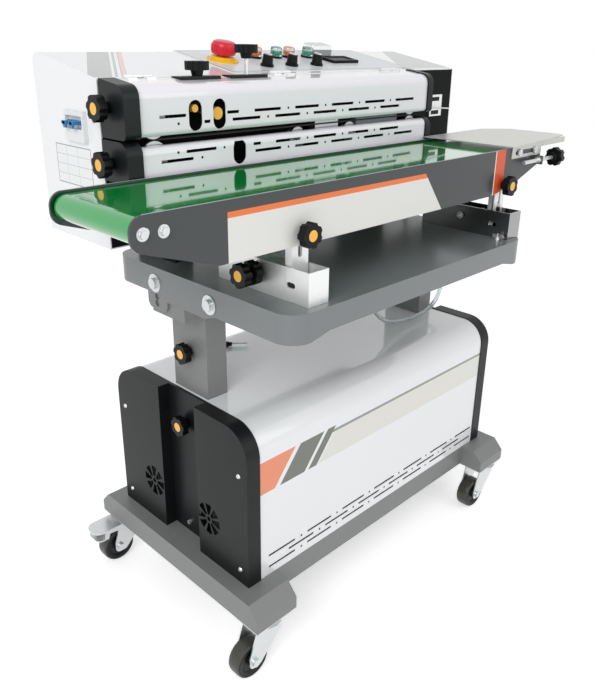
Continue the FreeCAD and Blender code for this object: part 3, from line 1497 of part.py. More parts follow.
def push_button(name, x):
    """A round lens cap that presses into its bezel."""
    low = S.panel_sheet + S.bezel_height + S.seat_gap + S.button_travel
    lens = turned([
        (0, low), (1 * S.button_radius, low), (1 * S.button_radius, low + S.button_height - 2),
        (S.button_radius - 2, low + S.button_height), (0, low + S.button_height),
    ])
    lens = place(group([lens]), x, 1 * S.button_run, 0)
    stem_foot = S.panel_sheet + S.button_travel + S.seat_gap
    stem = rod("Z", (x, 1 * S.button_run), S.button_radius * 0.6, stem_foot, low)
    return node(on_slope([joined([lens, stem])]), name)


for button_side, button_x in button_spots.items():
    push_button(f"button_{button_side}", button_x)


def breaker_toggle():
    """Two linked levers on one pivot rod, in the recess of the breaker's face."""
    pivot_x = S.head_left - 5
    pivot_z = 988
    bar = rod("Y", (pivot_x, pivot_z), 3.6, 56, 96)
    levers = [
        block((pivot_x - 14, 1 * pivot_x), (y, y + 14), (pivot_z - 2.5, pivot_z + 2.5))
        for y in (58, 80)
    ]
    return node(joined([bar] + levers), "breaker_toggle")


breaker_toggle()


# Star knobs, each with its neck just clear of what it clamps

gap_out = S.seat_gap
column_face = -S.column_centre - S.column_width / 2
star_knob("column_knob", column_face - gap_out, 0, 1 * S.column_knob_z, "-X", S.column_wall + gap_out)
channel_floor = -S.cabinet_half + S.channel_depth
star_knob("channel_knob", channel_floor - gap_out, 0, 1 * S.channel_knob_z, "-X", S.cover_wall + 10)
rail_face = S.rail_left - S.rail_width / 2
rail_knob_z = S.tray_top + S.rail_height * 0.64


def rail_knob():
    """Clamp knob and jam knob on one screw."""
    stack = S.knob_neck + S.knob_disc
    shaft = rod("Z", (0, 0), S.screw_radius, 0 - S.rail_sheet * 2 - gap_out, stack)
    jam = less(star_head, [rod("Z", (0, 0), S.screw_radius, -1, stack + 1)])
    clamp = place(group([star_head, star_cap]), 0, 0, stack)
    knob = place(group([jam, shaft, clamp]), rail_face - gap_out, 1 * S.rail_knob_y, rail_knob_z, AXIS_TURN["-X"])
    return node(knob, "rail_knob")


rail_knob()
for post_side, post_x in (("left", 1 * S.rail_left), ("right", 1 * S.rail_right)):
    star_knob(f"post_knob_{post_side}", post_x, S.conveyor_front - gap_out, 1 * S.post_knob_z, "-Y",
              S.conveyor_plate + S.post_thick + 2 * gap_out)
star_knob("upper_end_knob", S.head_left - gap_out, end_knob_y, upper_knob_z, "-X", 12 + gap_out)
star_knob("lower_end_knob", S.head_left - gap_out, end_knob_y, lower_knob_z, "-X", 12 + gap_out)
plate_top = S.upper_top + 1.5
star_knob("pressure_knob_low", -320, 1 * S.pressure_knob_y, plate_top + gap_out, "Z", 9 + gap_out, capped=False)


def tall_pressure_knob():
    """The second top knob, on a long thin stem."""
    lift = 26
    stem = rod("Z", (0, 0), S.screw_radius * 0.9, -9 - gap_out, lift)
    head = place(group([star_head]), 0, 0, lift)
    return node(place(group([stem, head]), -213, 1 * S.pressure_knob_y, plate_top + gap_out), "pressure_knob_tall")


tall_pressure_knob()


def adjuster(name, x, z, radius):
    """A small orange-capped adjuster seen through a window of the upper cover."""
    face = S.cover_front + S.cover_sheet + 3
    cap_part = rod("Y", (x, z), radius, face, face + 9)
    shaft = rod("Y", (x, z), S.screw_radius, face + 9, S.head_front + 6)
    return node(joined([cap_part, shaft]), name)


for adjuster_side, radius_of_cap in (("left", 6), ("right", 10)):
    adjuster_x, adjuster_z = adjuster_spots[adjuster_side]
    adjuster(f"adjuster_{adjuster_side}", adjuster_x, adjuster_z, radius_of_cap)


def tension_knob():
    """Threaded rod with lock nuts and a star knob at the infeed end."""
    length = S.tension_right - S.tension_left
    shaft = rod("Z", (0, 0), S.screw_radius, 0 - length, 0)
    lug_near = length - S.tension_lug - S.tension_lug_thick
    nuts = [
        less(rod("Z", (0, 0), 7, 0 - lug_near + offset, 0 - lug_near + offset + 6),
             [rod("Z", (0, 0), S.screw_radius, 0 - length, 0)])
        for offset in (0.3, -10.3)
    ]
    knob = group([star_head, shaft] + nuts)
    return node(place(knob, 1 * S.tension_right, 1 * S.tension_y, 1 * S.tension_z, AXIS_TURN["X"]), "tension_knob")


tension_knob()


# Vacuum hose: a clear tube that hangs in a loop below the tray

def hose():
    """Straight runs joined by tangent arcs, from the barb under the tray to the one on the head."""
    start_x, start_y = hose_tray_end()
    end_x, end_y = hose_head_end()
    tray_level = SIZES["tray_top"] - SIZES["tray_sheet"] - SIZES["barb_length"]
    head_level = SIZES["head_bottom"] - SIZES["barb_length"]
    route = [
        (start_x, start_y, tray_level), (start_x, start_y, 666), (71, -83, 604), (95, -82, 547), (144, -82, 514),
        (203, -81, 504), (262, -82, 500), (318, -82, 511), (358, -78, 549), (380, -60, 606),
        (385, -24, 640), (382, 28, 680), (end_x, end_y, head_level - 50), (end_x, end_y, head_level),
    ]
    points = [Vector(*point) for point in route]
    edges = []
    start = points[0]
    for before, corner, after in zip(points, points[1:], points[2:]):
        into = (corner - before).normalize()
        out_of = (after - corner).normalize()
        half_turn = into.getAngle(out_of) / 2
        shorter = min((corner - before).Length, (after - corner).Length)
        cut_back = 0.45 * shorter
        radius = cut_back / math.tan(half_turn)
        print(f"hose bend radius {radius:.1f}, turn {math.degrees(2 * half_turn):.0f}")
        first = corner - into * cut_back
        last = corner + out_of * cut_back
        inward = (out_of - into).normalize()
        centre = corner + inward * (cut_back / math.sin(half_turn))
        middle = centre - inward * radius
        edges.append(Part.LineSegment(start, first).toShape())
        edges.append(Part.Arc(first, middle, last).toShape())
        start = last
    edges.append(Part.LineSegment(start, points[-1]).toShape())
    path = Part.Wire(edges)
    ring = Part.Wire(Part.makeCircle(SIZES["hose_radius"], points[0], points[1] - points[0]))
    tube = path.makePipeShell([ring], True, True)
    expected = path.Length * math.pi * SIZES["hose_radius"] ** 2
    print(f"hose length {path.Length:.0f}, volume ratio {tube.Volume / expected:.4f}")
    feature = doc.addObject("Part::Feature", "hose")
    feature.Shape = tube
    return node(feature, "vacuum_hose")


hose()
doc.recompute()


# Check every object before anything is written

failed = [thing.Label for thing in doc.Objects if "Invalid" in thing.State or "Error" in thing.State]
if failed:
    sys.exit(f"failed objects: {failed}")
os.makedirs("parts", exist_ok=True)
for name, thing in nodes:
    shape = thing.Shape
    if shape.isNull() or not shape.isValid() or not shape.Solids:
        sys.exit(f"bad shape: {name}")
for name, thing in nodes:
    thing.Shape.exportStep(f"parts/{name}.step")
print(f"{len(nodes)} sub-parts written")
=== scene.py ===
# %% [markdown]
# # A continuous vacuum sealer
# The construction model holds every rigid piece in its place. This lesson dresses it: paint, plated steel,
# plastic and rubber, then the small trim, the clear hose, the light and the camera.

# %% Load the construction model
import math

import bmesh
import bpy
from mathutils import Matrix, Vector


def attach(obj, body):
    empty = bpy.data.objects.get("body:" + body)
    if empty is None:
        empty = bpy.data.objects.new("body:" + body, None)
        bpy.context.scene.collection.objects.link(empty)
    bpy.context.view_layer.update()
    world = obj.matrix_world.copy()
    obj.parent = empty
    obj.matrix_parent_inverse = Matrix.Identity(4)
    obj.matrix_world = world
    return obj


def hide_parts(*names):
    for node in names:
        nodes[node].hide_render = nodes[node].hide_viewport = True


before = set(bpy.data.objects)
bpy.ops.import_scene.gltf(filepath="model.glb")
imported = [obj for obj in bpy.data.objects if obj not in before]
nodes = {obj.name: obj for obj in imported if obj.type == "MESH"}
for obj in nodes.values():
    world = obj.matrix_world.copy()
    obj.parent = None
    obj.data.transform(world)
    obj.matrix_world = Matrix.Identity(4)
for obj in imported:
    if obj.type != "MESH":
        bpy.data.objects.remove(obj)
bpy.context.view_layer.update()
print("construction pieces:", len(nodes))

# %% [markdown]
# Paint makers give colours as sRGB hex, and Blender mixes light in linear numbers, so one function turns
# them. A second one adds a node with its settings and links. Everything else is built on these two.

# %% Colours and nodes
MM = 0.001


def linear(code):
    """Linear red, green, blue and alpha from an sRGB hex value."""
    parts = [int(code[place:place + 2], 16) / 255 for place in (1, 3, 5)]
    return [part / 12.92 if part <= 0.04045 else ((part + 0.055) / 1.055) ** 2.4 for part in parts] + [1.0]


def add(tree, kind, inputs=None, **settings):
    """One node with its settings; each input is a plain value or a socket to link."""
    made = tree.nodes.new(kind)
    for name, value in settings.items():
        setattr(made, name, value)
    for key, value in (inputs or {}).items():
        if isinstance(value, bpy.types.NodeSocket):
            tree.links.new(value, made.inputs[key])
        else:
            made.inputs[key].default_value = value
    return made


# %% [markdown]
# A finish is a base coat, sometimes with printed marks laid over it. The marks follow from where a point
# lies on the machine, in millimetres, so they stay sharp at any distance and need no picture.

# %% The finish builder
class Finish:
    """One material: a base coat, an optional texture in the surface, and marks laid over it by place."""

    def __init__(self, name, colour, roughness, metallic=0.0, **sockets):
        self.material = bpy.data.materials.new(name)
        self.material.use_nodes = True
        self.tree = self.material.node_tree
        self.shader = self.tree.nodes["Principled BSDF"]
        self.now = {"Base Color": linear(colour), "Roughness": roughness, "Metallic": metallic}
        for socket, value in self.now.items():
            self.shader.inputs[socket].default_value = value
        for socket, value in sockets.items():
            self.shader.inputs[socket.replace("_", " ")].default_value = value
        where = add(self.tree, "ShaderNodeTexCoord")
        scaled = add(self.tree, "ShaderNodeVectorMath", {0: where.outputs["Object"], "Scale": 1000.0},
                     operation="SCALE")
        parts = add(self.tree, "ShaderNodeSeparateXYZ", {0: scaled.outputs[0]})
        self.point = scaled.outputs[0]
        self.x, self.y, self.z = parts.outputs

    def maths(self, operation, first, second):
        """One step of arithmetic on sockets or plain numbers."""
        return add(self.tree, "ShaderNodeMath", {0: first, 1: second}, operation=operation).outputs[0]

    def within(self, value, low, high):
        """A mask that is 1 between two limits."""
        over = self.maths("GREATER_THAN", value, low)
        return self.maths("MULTIPLY", over, self.maths("LESS_THAN", value, high))

    def leaning(self, along, up, slope):
        """A coordinate whose lines of equal value lean over by the slope."""
        return self.maths("SUBTRACT", along, self.maths("MULTIPLY", up, slope))

    def all_of(self, *masks):
        """A mask that is 1 where all of them are."""
        result = masks[0]
        for mask in masks[1:]:
            result = self.maths("MULTIPLY", result, mask)
        return result

    def any_of(self, *masks):
        """A mask that is 1 where at least one of them is."""
        result = masks[0]
        for mask in masks[1:]:
            result = self.maths("MAXIMUM", result, mask)
        return result

    def lay(self, mask, colour):
        """Print a colour where the mask is 1."""
        mix = add(self.tree, "ShaderNodeMix", {0: mask, 6: self.now["Base Color"], 7: linear(colour)},
                  data_type="RGBA")
        self.now["Base Color"] = mix.outputs[2]
        self.tree.links.new(mix.outputs[2], self.shader.inputs["Base Color"])

    def grain(self, size, depth):
        """Fine relief: size and depth in millimetres."""
        noise = add(self.tree, "ShaderNodeTexNoise", {"Vector": self.point, "Scale": 1.0 / size, "Detail": 1.0})
        bump = add(self.tree, "ShaderNodeBump",
                   {"Height": noise.outputs[0], "Distance": depth * MM, "Strength": 1.0})
        self.tree.links.new(bump.outputs[0], self.shader.inputs["Normal"])
        return self


# %% [markdown]
# The frame, columns and tray wear a grey powder coat, baked on, with a slight orange-peel skin about 3 mm
# across. The cabinet's wraps and the head are white gloss enamel, and their end pieces satin black.

# %% Painted sheet and tube
grey_paint = Finish("Grey powder coat", "#7E8180", 0.42).grain(3.0, 0.05)
tray_paint = Finish("Grey powder coat on the tray", "#75797B", 0.3, Coat_Weight=0.25, Coat_Roughness=0.15)
white_paint = Finish("White gloss enamel", "#EEF0F2", 0.16, Coat_Weight=0.5, Coat_Roughness=0.05)
cover_paint = Finish("White gloss enamel on the covers", "#F0EDF4", 0.16, Coat_Weight=0.5, Coat_Roughness=0.05)
black_paint = Finish("Black satin powder coat", "#121516", 0.4, Specular_IOR_Level=0.22).grain(2.0, 0.04)
deep_black = Finish("Dull black powder coat", "#0E1011", 0.5, Specular_IOR_Level=0.08)
cap_paint = Finish("Black moulded cap", "#121718", 0.38, Specular_IOR_Level=0.25)
dark_paint = Finish("Dark grey gloss enamel", "#46494A", 0.3, Specular_IOR_Level=0.3, Coat_Weight=0.1,
                    Coat_Roughness=0.1)
# Grey moulded ABS for the gauge box; on the conveyor's top edge the same grey is a painted highlight.
grey_and_edge_highlight = Finish("Grey moulded ABS and painted edge highlight", "#A9ADB0", 0.4)
moulded_white = Finish("White moulded ABS", "#E6E8E9", 0.38)
print("paints ready")

# %% [markdown]
# Fork, axles and brackets are zinc plated, which is bright but a little milky. The left rail is brushed
# stainless sheet; the right one is the same sheet drawn smoother, its darker base colour painted shade from
# the conveyor. The press wheels and the cooling block are turned aluminium, the heating block is cast.

# %% Bare and plated metal
zinc = Finish("Bright zinc plated steel", "#D3D5D6", 0.34, 0.9)
stainless = Finish("Brushed stainless sheet", "#EAEBEB", 0.44, 0.8)
# Painted shade: the right rail's sheet, darker than the left one's.
shaded_stainless = Finish("Smooth stainless sheet with painted shade", "#A3A4A5", 0.16, 1.0)
table_steel = Finish("Satin stainless sheet", "#C9C9C4", 0.34, 0.75)
aluminium = Finish("Turned aluminium", "#C6C8CA", 0.32, 1.0)
pump_cast = Finish("Cast aluminium with grey paint", "#7D858B", 0.5).grain(2.5, 0.1)

# %% [markdown]
# The belt is woven polyester under a smooth green polyurethane skin, as shiny as wet paint. Knobs are black
# phenolic with an amber cap let in. Tyres are smooth dark rubber on black hubs.

# %% Rubber and plastic
belt_skin = Finish("Green polyurethane belt", "#129A45", 0.1, Coat_Weight=0.9, Coat_Roughness=0.03)
# Painted shade: a dark green that stands in for the shade beside the belt, tinted by the belt's green light.
painted_belt_shade = Finish("Dark green painted shade from the belt", "#0A3A22", 0.3)
phenolic = Finish("Black phenolic", "#0F1011", 0.36, Specular_IOR_Level=0.16)
amber = Finish("Amber knob cap", "#F9BC48", 0.4)
tread = Finish("Dark rubber tread", "#3A3A36", 0.34)
hub = Finish("Black polypropylene hub", "#121314", 0.45, Specular_IOR_Level=0.3)
stop_red = Finish("Red moulded ABS", "#D5142F", 0.3)
stop_yellow = Finish("Yellow moulded ABS", "#F0BE1E", 0.4)
lens_orange = Finish("Orange lens", "#EE7D22", 0.2, Coat_Weight=0.6)
lens_green = Finish("Green lens", "#17A07F", 0.2, Coat_Weight=0.6)
toggle_blue = Finish("Blue moulded ABS", "#2B7CB4", 0.35)
dial_white = Finish("White print on a dial", "#E8EAEA", 0.4)
band_film = Finish("Woven glass band with resin", "#2B2220", 0.5)
clear = Finish("Clear polycarbonate", "#F4F8F8", 0.04, Transmission_Weight=1.0, IOR=1.58)
hose_clear = Finish("Clear soft PVC", "#DDE6E8", 0.12, Transmission_Weight=0.85, IOR=1.5)
# Painted shade: dark discs and plates put where holes and slots show only shade.
hole_shade = Finish("Painted shade inside a hole", "#0B0C0D", 0.8)
print("plastics ready")

# %% [markdown]
# The white wrap of the cabinet carries leaning blocks of orange and grey, then a pale band below a thin
# grey line. All of them lean by the same slope, so one leaning coordinate sets them out.

# %% Printed marks on the cabinet wrap
wrap_print = Finish("White gloss enamel with printed band", "#EEF0F2", 0.14, Coat_Weight=0.6, Coat_Roughness=0.04)
BAND_SLANT = 0.8
on_front = wrap_print.within(wrap_print.y, -210.0, -195.0)
lean = wrap_print.leaning(wrap_print.x, wrap_print.z, BAND_SLANT)
BAND_TOP = 418.0
BAND_FOOT = 351.0


def wrap_mark(left, right, low, high, colour):
    """A leaning block between two heights; left and right are measured along its top edge."""
    shift = BAND_SLANT * BAND_TOP
    across = wrap_print.within(lean, left - shift, right - shift)
    wrap_print.lay(wrap_print.all_of(on_front, across, wrap_print.within(wrap_print.z, low, high)), colour)


wrap_mark(-155, 800, BAND_FOOT, 405, "#E3E2DB")
wrap_mark(-160, 800, 405, 411, "#8E918C")
wrap_mark(-420, -270, BAND_FOOT, BAND_TOP, "#EE8A5F")
wrap_mark(-257, -193, BAND_FOOT, BAND_TOP, "#666960")
wrap_mark(-183, -160, BAND_FOOT, BAND_TOP, "#666960")

# %% [markdown]
# The head's sloping top has a grey block with two white lines and a pink one beside it, and a grey corner
# at the other end. Its left side has a bare framed plate with ruled lines.

# %% Printed marks on the head
head_print = Finish("White gloss enamel with grey blocks", "#EEF0F2", 0.16, Coat_Weight=0.5, Coat_Roughness=0.05)
# The top slopes by 10.6 degrees from its front edge, so the way up it is 1.0174 times its depth.
HEAD_SLOPE = math.radians(10.6)
SLOPE_FOOT_Y, SLOPE_FOOT_Z = 8.0, 1056.0
RUN_PER_DEPTH = 1.0174
run = head_print.maths("MULTIPLY", head_print.maths("SUBTRACT", head_print.y, SLOPE_FOOT_Y), RUN_PER_DEPTH)
on_top = head_print.all_of(head_print.within(run, 9.0, 193.0), head_print.within(head_print.z, 1056.0, 1100.0),
                           head_print.within(head_print.x, -491.0, 453.0))
slant = head_print.leaning(head_print.x, run, 0.567)
for low, high, tone in ((-507, -446, "#9DA1A1"), (-464.6, -459.6, "#EEF0F2"), (-454.6, -448.6, "#EEF0F2"),
                        (-446.6, -438.0, "#E9B3AF")):
    head_print.lay(head_print.all_of(on_top, head_print.within(slant, low, high)), tone)
corner = head_print.leaning(head_print.x, run, 0.786)
head_print.lay(head_print.all_of(on_top, head_print.within(corner, 264.0, 800.0)), "#8F9393")
on_side = head_print.within(head_print.x, -494.0, -492.5)
plate_y = head_print.within(head_print.y, 44.0, 158.0)
plate_z = head_print.within(head_print.z, 883.0, 948.0)
inner = head_print.all_of(head_print.within(head_print.y, 45.5, 156.5), head_print.within(head_print.z, 884.5, 946.5))
rules = [head_print.within(head_print.z, z, z + 1.0) for z in (899.0, 915.0, 931.0)]
uprights = [head_print.within(head_print.y, y, y + 1.0) for y in (86.0, 122.0)]
head_print.lay(head_print.all_of(on_side, plate_y, plate_z), "#7E8283")
head_print.lay(head_print.all_of(on_side, inner), "#E9ECEC")
head_print.lay(head_print.all_of(on_side, inner, head_print.any_of(*rules, *uprights)), "#B9BDBD")

# %% [markdown]
# The conveyor's front side plate carries a white panel with one slanting end below an orange line, and an
# orange-red bar near the infeed.

# %% Printed marks on the conveyor
plate_print = Finish("Dark grey gloss enamel with white panel", "#46494A", 0.3, Specular_IOR_Level=0.3,
                     Coat_Weight=0.1, Coat_Roughness=0.1)
PANEL_SLANT = 0.797
plate_lean = plate_print.leaning(plate_print.x, plate_print.z, -PANEL_SLANT)
panel_end = plate_print.maths("LESS_THAN", plate_lean, -18.0 + PANEL_SLANT * 895.0)
along = plate_print.all_of(plate_print.maths("GREATER_THAN", plate_print.x, -474.0), panel_end)
plate_print.lay(plate_print.all_of(along, plate_print.within(plate_print.z, 820.0, 889.5)), "#E4E4E0")
plate_print.lay(plate_print.all_of(along, plate_print.within(plate_print.z, 889.5, 898.0)), "#EE7F45")
plate_print.lay(plate_print.within(plate_print.x, 215.0, 218.0), "#EDEDEA")
plate_print.lay(plate_print.within(plate_print.x, 218.0, 253.0), "#E05A30")

# %% [markdown]
# The control overlay is one pale printed film with a dark rule near its edge.

# %% Control overlay
overlay_print = Finish("Pale printed film", "#DEE2E6", 0.32)
film_run = overlay_print.maths(
    "MULTIPLY", overlay_print.maths("SUBTRACT", overlay_print.y, SLOPE_FOOT_Y), RUN_PER_DEPTH)
outside = overlay_print.all_of(overlay_print.within(overlay_print.x, -211.5, 296.5),
                               overlay_print.within(film_run, 18.5, 189.5))
inside = overlay_print.all_of(overlay_print.within(overlay_print.x, -209.5, 294.5),
                              overlay_print.within(film_run, 20.5, 187.5))
overlay_print.lay(outside, "#5E6265")
overlay_print.lay(inside, "#DEE2E6")

# %% [markdown]
# Each construction piece now gets its finish. A piece that is several real parts in one, such as a cover
# with its end caps, gets one finish for each, chosen by where the middle of a face lies.

# %% Dress the construction pieces
def dress(name, coat, *others):
    """Give a piece its finish; others holds (test of a face's middle in mm, finish), the first that fits wins."""
    mesh = nodes[name].data
    mesh.materials.clear()
    for finish in (coat, *[finish for _, finish in others]):
        mesh.materials.append(finish.material)
    for face in mesh.polygons:
        x, y, z = face.center / MM
        face.material_index = next((slot for slot, (test, _) in enumerate(others, 1) if test(x, y, z)), 0)


def near(u, v, radius):
    """A test of how far a point lies from a line, from its two coordinates across that line."""
    return lambda a, b: math.hypot(a - u, b - v) < radius


dress("base_frame", grey_paint, (lambda x, y, z: z < 112.9, zinc))
dress("cabinet_left_cover", black_paint)
dress("cabinet_right_cover", black_paint)
dress("cabinet_front_wrap", wrap_print)
dress("cabinet_back_wrap", white_paint)
dress("vacuum_pump", grey_paint, (lambda x, y, z: z > 167.5, pump_cast))
bolt_line = near(-128, 708, 18)
dress("lift_frame", grey_paint, (lambda x, y, z: x < -400.5 or (x > 285.2 and bolt_line(y, z)), zinc))
stop_line = near(27, 708, 18)
dress("tray", tray_paint, (lambda x, y, z: x < -401.2 or (x > 272 and stop_line(y, z)), zinc))
# The right rail gets the darker sheet, which is painted shade.
for name in ("outer_rails", "sliding_rails"):
    dress(name, stainless, (lambda x, y, z: x > 0 and z < 800, shaded_stainless))
dress("head_casing", head_print, (lambda x, y, z: z < 790.5, black_paint))
dress("head_front_plate", deep_black)
dress("seal_bands", band_film)
dress("seal_blocks", aluminium, (lambda x, y, z: x > 50, pump_cast))
dress("feed_table", table_steel)
dress("conveyor_belt", belt_skin)
dress("conveyor_frame", dark_paint,
      # The top of the side plate's fold takes light grey as a painted highlight.
      (lambda x, y, z: z > 914.9, grey_and_edge_highlight),
      (lambda x, y, z: y < -270.6 and z > 895, zinc),
      (lambda x, y, z: y < -270.25, plate_print),
      # The frame's thin face beside the belt's back edge takes this painted dark green shade.
      (lambda x, y, z: y > -71.3 and y < -70.5 and z > 868, painted_belt_shade),
      (lambda x, y, z: -266 < y < -71.2, zinc))
for name in ("outfeed_roller", "infeed_roller"):
    dress(name, zinc)
for end in ("left", "right"):
    for name in (f"upper_band_wheel_{end}", f"lower_band_wheel_{end}", f"press_wheel_{end}"):
        dress(name, aluminium)
CASTERS = {"front_left": (-378, -229), "front_right": (378, -229), "back_left": (-378, 229), "back_right": (378, 229)}
for corner_name, (x_at, y_at) in CASTERS.items():
    dress(f"caster_fork_{corner_name}", zinc)
    core = near(x_at - 40, 37.5, 29)
    dress(f"caster_wheel_{corner_name}", hub,
          (lambda x, y, z, core=core, y_at=y_at: not core(x, z) and abs(y - y_at) < 14.5, tread))
for name in ("brake_pedal_back_left", "brake_pedal_back_right"):
    dress(name, zinc)
print("frame and conveyor dressed")

# %% [markdown]
# The two covers have black caps at both ends and bright steel hinges. The upper one also has the two small
# black plates that the pressure knobs stand on.

# %% Dress the covers
def knob_plate(x, y, z):
    return z > 1047 and -26.001 < y < 2.5 and (-361.5 < x < -278.5 or -256.5 < x < -172.5)


def is_cap(x, y, z):
    return x < -464.9 or x > 263.9


def is_hinge(x, y, z):
    return z > 1053.2 and y > -10.5


dress("upper_cover", cover_paint, (is_cap, cap_paint), (knob_plate, black_paint), (is_hinge, stainless))
dress("lower_cover", cover_paint, (is_cap, cap_paint))

# %% [markdown]
# The control panel is one construction piece with many real ones on it: the film, the stop button's disc
# and collar, black bezels, the display and the gauge box, hinge leaves and the face of the breaker.

# %% Dress the control panel
def up_slope(x, y, z):
    """Distance up the slope and height above it, in mm."""
    along, up = y - SLOPE_FOOT_Y, z - SLOPE_FOOT_Z
    return (along * math.cos(HEAD_SLOPE) + up * math.sin(HEAD_SLOPE),
            up * math.cos(HEAD_SLOPE) - along * math.sin(HEAD_SLOPE))


def panel_part(test):
    return lambda x, y, z: test(x, *up_slope(x, y, z))


stop_spot = near(-165, 104, 31)
dress("control_panel", overlay_print,
      (lambda x, y, z: x < -492.9, moulded_white),
      (lambda x, y, z: y < 7.9, stainless),
      (panel_part(lambda x, along, up: along < 14.5), stainless),
      (panel_part(lambda x, along, up: up > 1.3 and stop_spot(x, along)), stop_yellow),
      (panel_part(lambda x, along, up: up > 1.3 and 110 < x < 178 and 70 < along < 106 and up < 6.9), hub),
      (panel_part(lambda x, along, up: up > 1.3 and 97 < x < 153 and along > 118), grey_and_edge_highlight),
      (panel_part(lambda x, along, up: up > 1.3), phenolic))
dress("emergency_stop", stop_red)
for end in ("left", "middle", "right"):
    dress(f"dial_{end}", phenolic, (panel_part(lambda x, along, up: up > 22.6), dial_white))
for end in ("left", "right"):
    dress(f"button_orange_{end}", lens_orange)
    dress(f"button_green_{end}", lens_green)
    dress(f"adjuster_{end}", zinc, (lambda x, y, z: y < -43.5, amber))
dress("breaker_toggle", toggle_blue)

# %% [markdown]
# A star knob is black phenolic with an amber cap in its face and a zinc plated screw behind it. The cap and
# the screw are told apart by their distance from the knob's axis and by which side of the neck they lie on.

# %% Dress the knobs
RAIL_KNOB_Z = 738 + 55 * 0.64
KNOBS = {
    "column_knob": ((-352.3, 0, 569), (-1, 0, 0), 23),
    "channel_knob": ((-367.3, 0, 421), (-1, 0, 0), 23),
    "rail_knob": ((-352.3, -198, RAIL_KNOB_Z), (-1, 0, 0), 46),
    "post_knob_left": ((-330, -270.6, 844), (0, -1, 0), 23),
    "post_knob_right": ((253, -270.6, 844), (0, -1, 0), 23),
    "upper_end_knob": ((-493.3, -16, 1016), (-1, 0, 0), 23),
    "lower_end_knob": ((-493.3, -16, 933), (-1, 0, 0), 23),
    "pressure_knob_low": ((-320, -13, 1057.8), (0, 0, 1), None),
    "pressure_knob_tall": ((-213, -13, 1057.8), (0, 0, 1), None),
    "tension_knob": ((430, -282, 884), (1, 0, 0), None),
}
for name, (seat, facing, face_height) in KNOBS.items():
    seat, facing = Vector(seat), Vector(facing)

    def part_of(x, y, z, seat=seat, facing=facing):
        """Height along the knob's axis and distance from it."""
        offset = Vector((x, y, z)) - seat
        height = offset.dot(facing)
        return height, (offset - facing * height).length

    def is_screw(x, y, z, part_of=part_of):
        height, away = part_of(x, y, z)
        return height < -0.05 or (name == "pressure_knob_tall" and height < 25 and away < 4)

    def is_amber(x, y, z, part_of=part_of, top=face_height):
        height, away = part_of(x, y, z)
        return top is not None and height > top - 0.1 and away < 9.05

    dress(name, phenolic, (is_amber, amber), (is_screw, zinc))
print("knobs dressed:", len(KNOBS))

# %% [markdown]
# Screws, rivets and the round holes between the dashes repeat many times. A Geometry Nodes tree sets one
# small drum on each point of a list, turned to the way that point faces, and joins them in one mesh.

# %% A tree that sets fasteners on points
def fastener_tree():
    tree = bpy.data.node_groups.new("Fasteners on points", "GeometryNodeTree")
    face = tree.interface
    face.new_socket("Points", in_out="INPUT", socket_type="NodeSocketGeometry")
    for name in ("Foot radius", "Top radius", "Height"):
        face.new_socket(name, in_out="INPUT", socket_type="NodeSocketFloat")
    face.new_socket("Sides", in_out="INPUT", socket_type="NodeSocketInt")
    face.new_socket("Finish", in_out="INPUT", socket_type="NodeSocketMaterial")
    face.new_socket("Fasteners", in_out="OUTPUT", socket_type="NodeSocketGeometry")
    given = add(tree, "NodeGroupInput").outputs
    drum = add(tree, "GeometryNodeMeshCone", {"Vertices": given["Sides"], "Radius Bottom": given["Foot radius"],
                                              "Radius Top": given["Top radius"], "Depth": given["Height"]})
    facing = add(tree, "GeometryNodeInputNamedAttribute", {"Name": "facing"}, data_type="FLOAT_VECTOR")
    turn = add(tree, "FunctionNodeAlignRotationToVector", {"Vector": facing.outputs[0]}, axis="Z")
    placed = add(tree, "GeometryNodeInstanceOnPoints", {"Points": given["Points"], "Instance": drum.outputs[0],
                                                       "Rotation": turn.outputs[0]})
    real = add(tree, "GeometryNodeRealizeInstances", {0: placed.outputs[0]})
    painted = add(tree, "GeometryNodeSetMaterial", {0: real.outputs[0], "Material": given["Finish"]})
    add(tree, "NodeGroupOutput", {0: painted.outputs[0]})
    return tree


drums = fastener_tree()


def set_on_points(name, body, spots, foot, top, height, sides, finish):
    """spots holds (point, facing) in mm; the result is one plain mesh that rides on the body."""
    mesh = bpy.data.meshes.new(name + "_points")
    mesh.from_pydata([Vector(point) * MM for point, _ in spots], [], [])
    ways = mesh.attributes.new("facing", "FLOAT_VECTOR", "POINT")
    ways.data.foreach_set("vector", [part for _, facing in spots for part in facing])
    seed = bpy.data.objects.new(name + "_points", mesh)
    bpy.context.scene.collection.objects.link(seed)
    modifier = seed.modifiers.new("fasteners", "NODES")
    modifier.node_group = drums
    values = {"Foot radius": foot * MM, "Top radius": top * MM, "Height": height * MM, "Sides": sides,
              "Finish": finish.material}
    for item in drums.interface.items_tree:
        if item.in_out == "INPUT" and item.name in values:
            modifier[item.identifier] = values[item.name]
    bpy.context.view_layer.update()
    shown = seed.evaluated_get(bpy.context.evaluated_depsgraph_get())
    solid = bpy.data.objects.new(name, bpy.data.meshes.new_from_object(shown))
    bpy.context.scene.collection.objects.link(solid)
    bpy.data.objects.remove(seed)
    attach(solid, body)
    print(name, len(spots), "pieces")
    return solid


# %% [markdown]
# Pan head screws hold the cabinet's covers, and blind rivets hold the control overlay. The conveyor's nose
# has two hexagon bolts on washers each side.

# %% Screws, rivets and bolts
LEFT, FRONT, UP = (-1, 0, 0), (0, -1, 0), (0, 0, 1)
cover_screws = [((side * 391.8, y, z), (side, 0, 0)) for side in (-1, 1) for y in (-181, 181) for z in (398, 194)]
set_on_points("cover_screws", "base", cover_screws, 5.0, 3.4, 2.4, 16, zinc)
set_on_points("channel_bolt", "base", [((-367, 6, 188), LEFT)], 5.5, 4.6, 5.0, 6, zinc)


def on_slope(x, along, above=0.0):
    """A point on the head's sloping top, in mm."""
    return (x, SLOPE_FOOT_Y + along * math.cos(HEAD_SLOPE) - above * math.sin(HEAD_SLOPE),
            SLOPE_FOOT_Z + along * math.sin(HEAD_SLOPE) + above * math.cos(HEAD_SLOPE))


